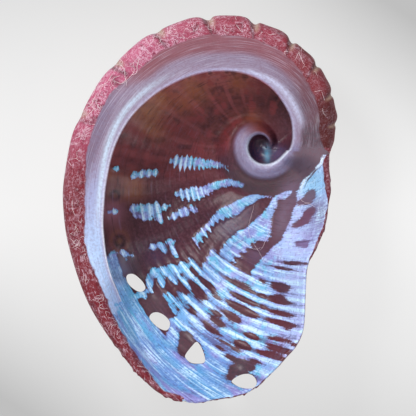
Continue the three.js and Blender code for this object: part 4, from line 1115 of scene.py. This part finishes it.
lv, lf = [], []
for x0, y0, x1, y1, curl, thick in SPAN:
    m = 12
    nx, ny = y0 - y1, x1 - x0
    l = math.hypot(nx, ny)
    ph = _lr.uniform(0, 6.28)
    last_z, line = None, []
    for i in range(m + 1):
        t = i / m
        b_ = curl * math.sin(math.pi * t) + 0.35 * curl * math.sin(2.3 * math.pi * t + ph)
        px, py = mix(x0, x1, t) + nx / l * b_, mix(y0, y1, t) + ny / l * b_
        wx, wy, wz = drop(px, py)
        if wz is None:
            wz = last_z
        if wz is None:
            continue
        if last_z is not None:
            wz = max(wz, last_z - 0.0002)
        last_z = wz
        line.append((wx, wy, wz + thick * S / 1000.0 * 1.1 + 0.00006 * (1 + math.sin(5 * t + ph))))
    if len(line) < 3:
        continue
    rad, base = 0.72 * thick * S / 1000.0, len(lv)
    P = np.array(line)
    T = np.gradient(P, axis=0)
    T /= np.linalg.norm(T, axis=1)[:, None]
    A1 = np.cross(T, [0, 0, 1.0])
    A1 /= np.linalg.norm(A1, axis=1)[:, None]
    A2 = np.cross(A1, T)
    for i in range(len(P)):
        w_ = rad * (1 - 0.6 * abs(2 * i / (len(P) - 1) - 1) ** 4)
        for k in range(4):
            lv.append(tuple(P[i] + w_ * (math.cos(k * math.pi / 2) * A1[i] + math.sin(k * math.pi / 2) * A2[i])))
    for i in range(len(P) - 1):
        for k in range(4):
            a0, a1 = base + 4 * i + k, base + 4 * i + (k + 1) % 4
            lf.append((a0, a1, a1 + 4, a0 + 4))
    lf.append((base + 3, base + 2, base + 1, base))
    e = base + 4 * (len(P) - 1)
    lf.append((e, e + 1, e + 2, e + 3))
lm = bpy.data.meshes.new("lint")
lm.from_pydata(lv, [], lf)
lm.update()
lint = bpy.data.objects.new("lint", lm)
bpy.context.scene.collection.objects.link(lint)
N = Nodes("lint")
b = N.new("ShaderNodeBsdfPrincipled")
ln = N.noise(N.new("ShaderNodeTexCoord").outputs["Object"], 900.0, 3.0, 0.6)
N.link(N.mixc(ln, rgba((236, 206, 214)), rgba((250, 240, 242))), b.inputs["Base Color"])
N.link(N.math("ADD", 0.75, N.math("MULTIPLY", ln, 0.2)), b.inputs["Roughness"])
b.inputs["Specular IOR Level"].default_value = 0.2
o_ = N.new("ShaderNodeOutputMaterial")
N.link(b.outputs[0], o_.inputs[0])
lm.materials.append(N.mat)
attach(lint, "root")
print("lint triangles", sum(len(p.vertices) - 2 for p in lm.polygons))

# ---- floor, light, camera -----------------------------------------------------------------
fm = bpy.data.meshes.new("floor")
h = 0.6
fm.from_pydata([(-h, -h, 0), (h, -h, 0), (h, h, 0), (-h, h, 0)], [], [(0, 1, 2, 3)])
floor = bpy.data.objects.new("floor", fm)
bpy.context.scene.collection.objects.link(floor)
# painted light: the floor glows by emission though it is no lamp, and it is painted darker towards its corners, a
# painted falloff of light
N = Nodes("floor")
sep = N.new("ShaderNodeSeparateXYZ")
N.link(N.new("ShaderNodeTexCoord").outputs["Object"], sep.inputs[0])
fx = N.math("DIVIDE", N.math("SUBTRACT", sep.outputs[0], 0.0013), 0.032)
fy = N.math("DIVIDE", N.math("SUBTRACT", sep.outputs[1], 0.0002), 0.032)
f2x, f2y, fxy = N.math("MULTIPLY", fx, fx), N.math("MULTIPLY", fy, fy), N.math("MULTIPLY", fx, fy)
corner = N.math("POWER", N.math("MAXIMUM", fxy, 0.0), 1.4)
painted_falloff = N.math("ADD", N.math("ADD", N.math("MULTIPLY", f2x, 0.05), N.math("MULTIPLY", f2y, 0.20)), N.math("MULTIPLY", corner, 0.33), cl=True)
paper = N.noise(N.new("ShaderNodeTexCoord").outputs["Object"], 60.0, 2.0, 0.5)
painted_falloff = N.math("ADD", painted_falloff, N.math("MULTIPLY", N.math("SUBTRACT", paper, 0.5), 0.02), cl=True)
away = N.math("SQRT", N.math("ADD", f2x, f2y))
painted_falloff = N.math("MULTIPLY", N.math("MINIMUM", painted_falloff, 0.5), N.step(away, 1.35, 2.3, 1.0, 0.1))
fcol = N.mixc(painted_falloff, (0.94, 0.94, 0.94, 1), (0.08, 0.08, 0.08, 1))
floor_glow = N.new("ShaderNodeEmission")
N.link(fcol, floor_glow.inputs[0])
floor_glow.inputs[1].default_value = 0.78
fd = N.new("ShaderNodeBsdfDiffuse")
N.link(N.mixc(1.0, fcol, (0.2, 0.2, 0.2, 1), "MULTIPLY"), fd.inputs[0])
add = N.new("ShaderNodeAddShader")
N.link(floor_glow.outputs[0], add.inputs[0])
N.link(fd.outputs[0], add.inputs[1])
fo = N.new("ShaderNodeOutputMaterial")
N.link(add.outputs[0], fo.inputs[0])
fm.materials.append(N.mat)


def area(name, loc, size, energy, color=(1, 1, 1), target=(0, 0, 0.006)):
    l = bpy.data.lights.new(name, "AREA")
    l.shape = "DISK"
    l.size = size
    l.energy = energy
    l.color = color
    o = bpy.data.objects.new(name, l)
    o.location = loc
    o.rotation_euler = (Vector(target) - Vector(loc)).to_track_quat("-Z", "Y").to_euler()
    bpy.context.scene.collection.objects.link(o)
    return o


area("key", (-0.20, 0.24, 0.30), 0.16, 1.5)
area("fill", (0.26, -0.20, 0.30), 0.25, 0.5, (0.95, 0.97, 1.0))
world = bpy.data.worlds.new("studio")
world.use_nodes = True
bg = world.node_tree.nodes["Background"]
bg.inputs[0].default_value = (1, 1, 1, 1)
bg.inputs[1].default_value = 0.55
bpy.context.scene.world = world

cam = bpy.data.cameras.new("camera")
cam.type = "ORTHO"
cam.ortho_scale = 416 * S / 1000.0
cam.clip_end = 5
co = bpy.data.objects.new("camera", cam)
co.location = ((208 - 199.5) * S / 1000.0, (209.5 - 208) * S / 1000.0, 0.4)
bpy.context.scene.collection.objects.link(co)
bpy.context.scene.camera = co
bpy.context.scene.view_settings.view_transform = "Standard"
bpy.context.scene.view_settings.look = "None"
bpy.context.scene.view_settings.exposure = 0.0
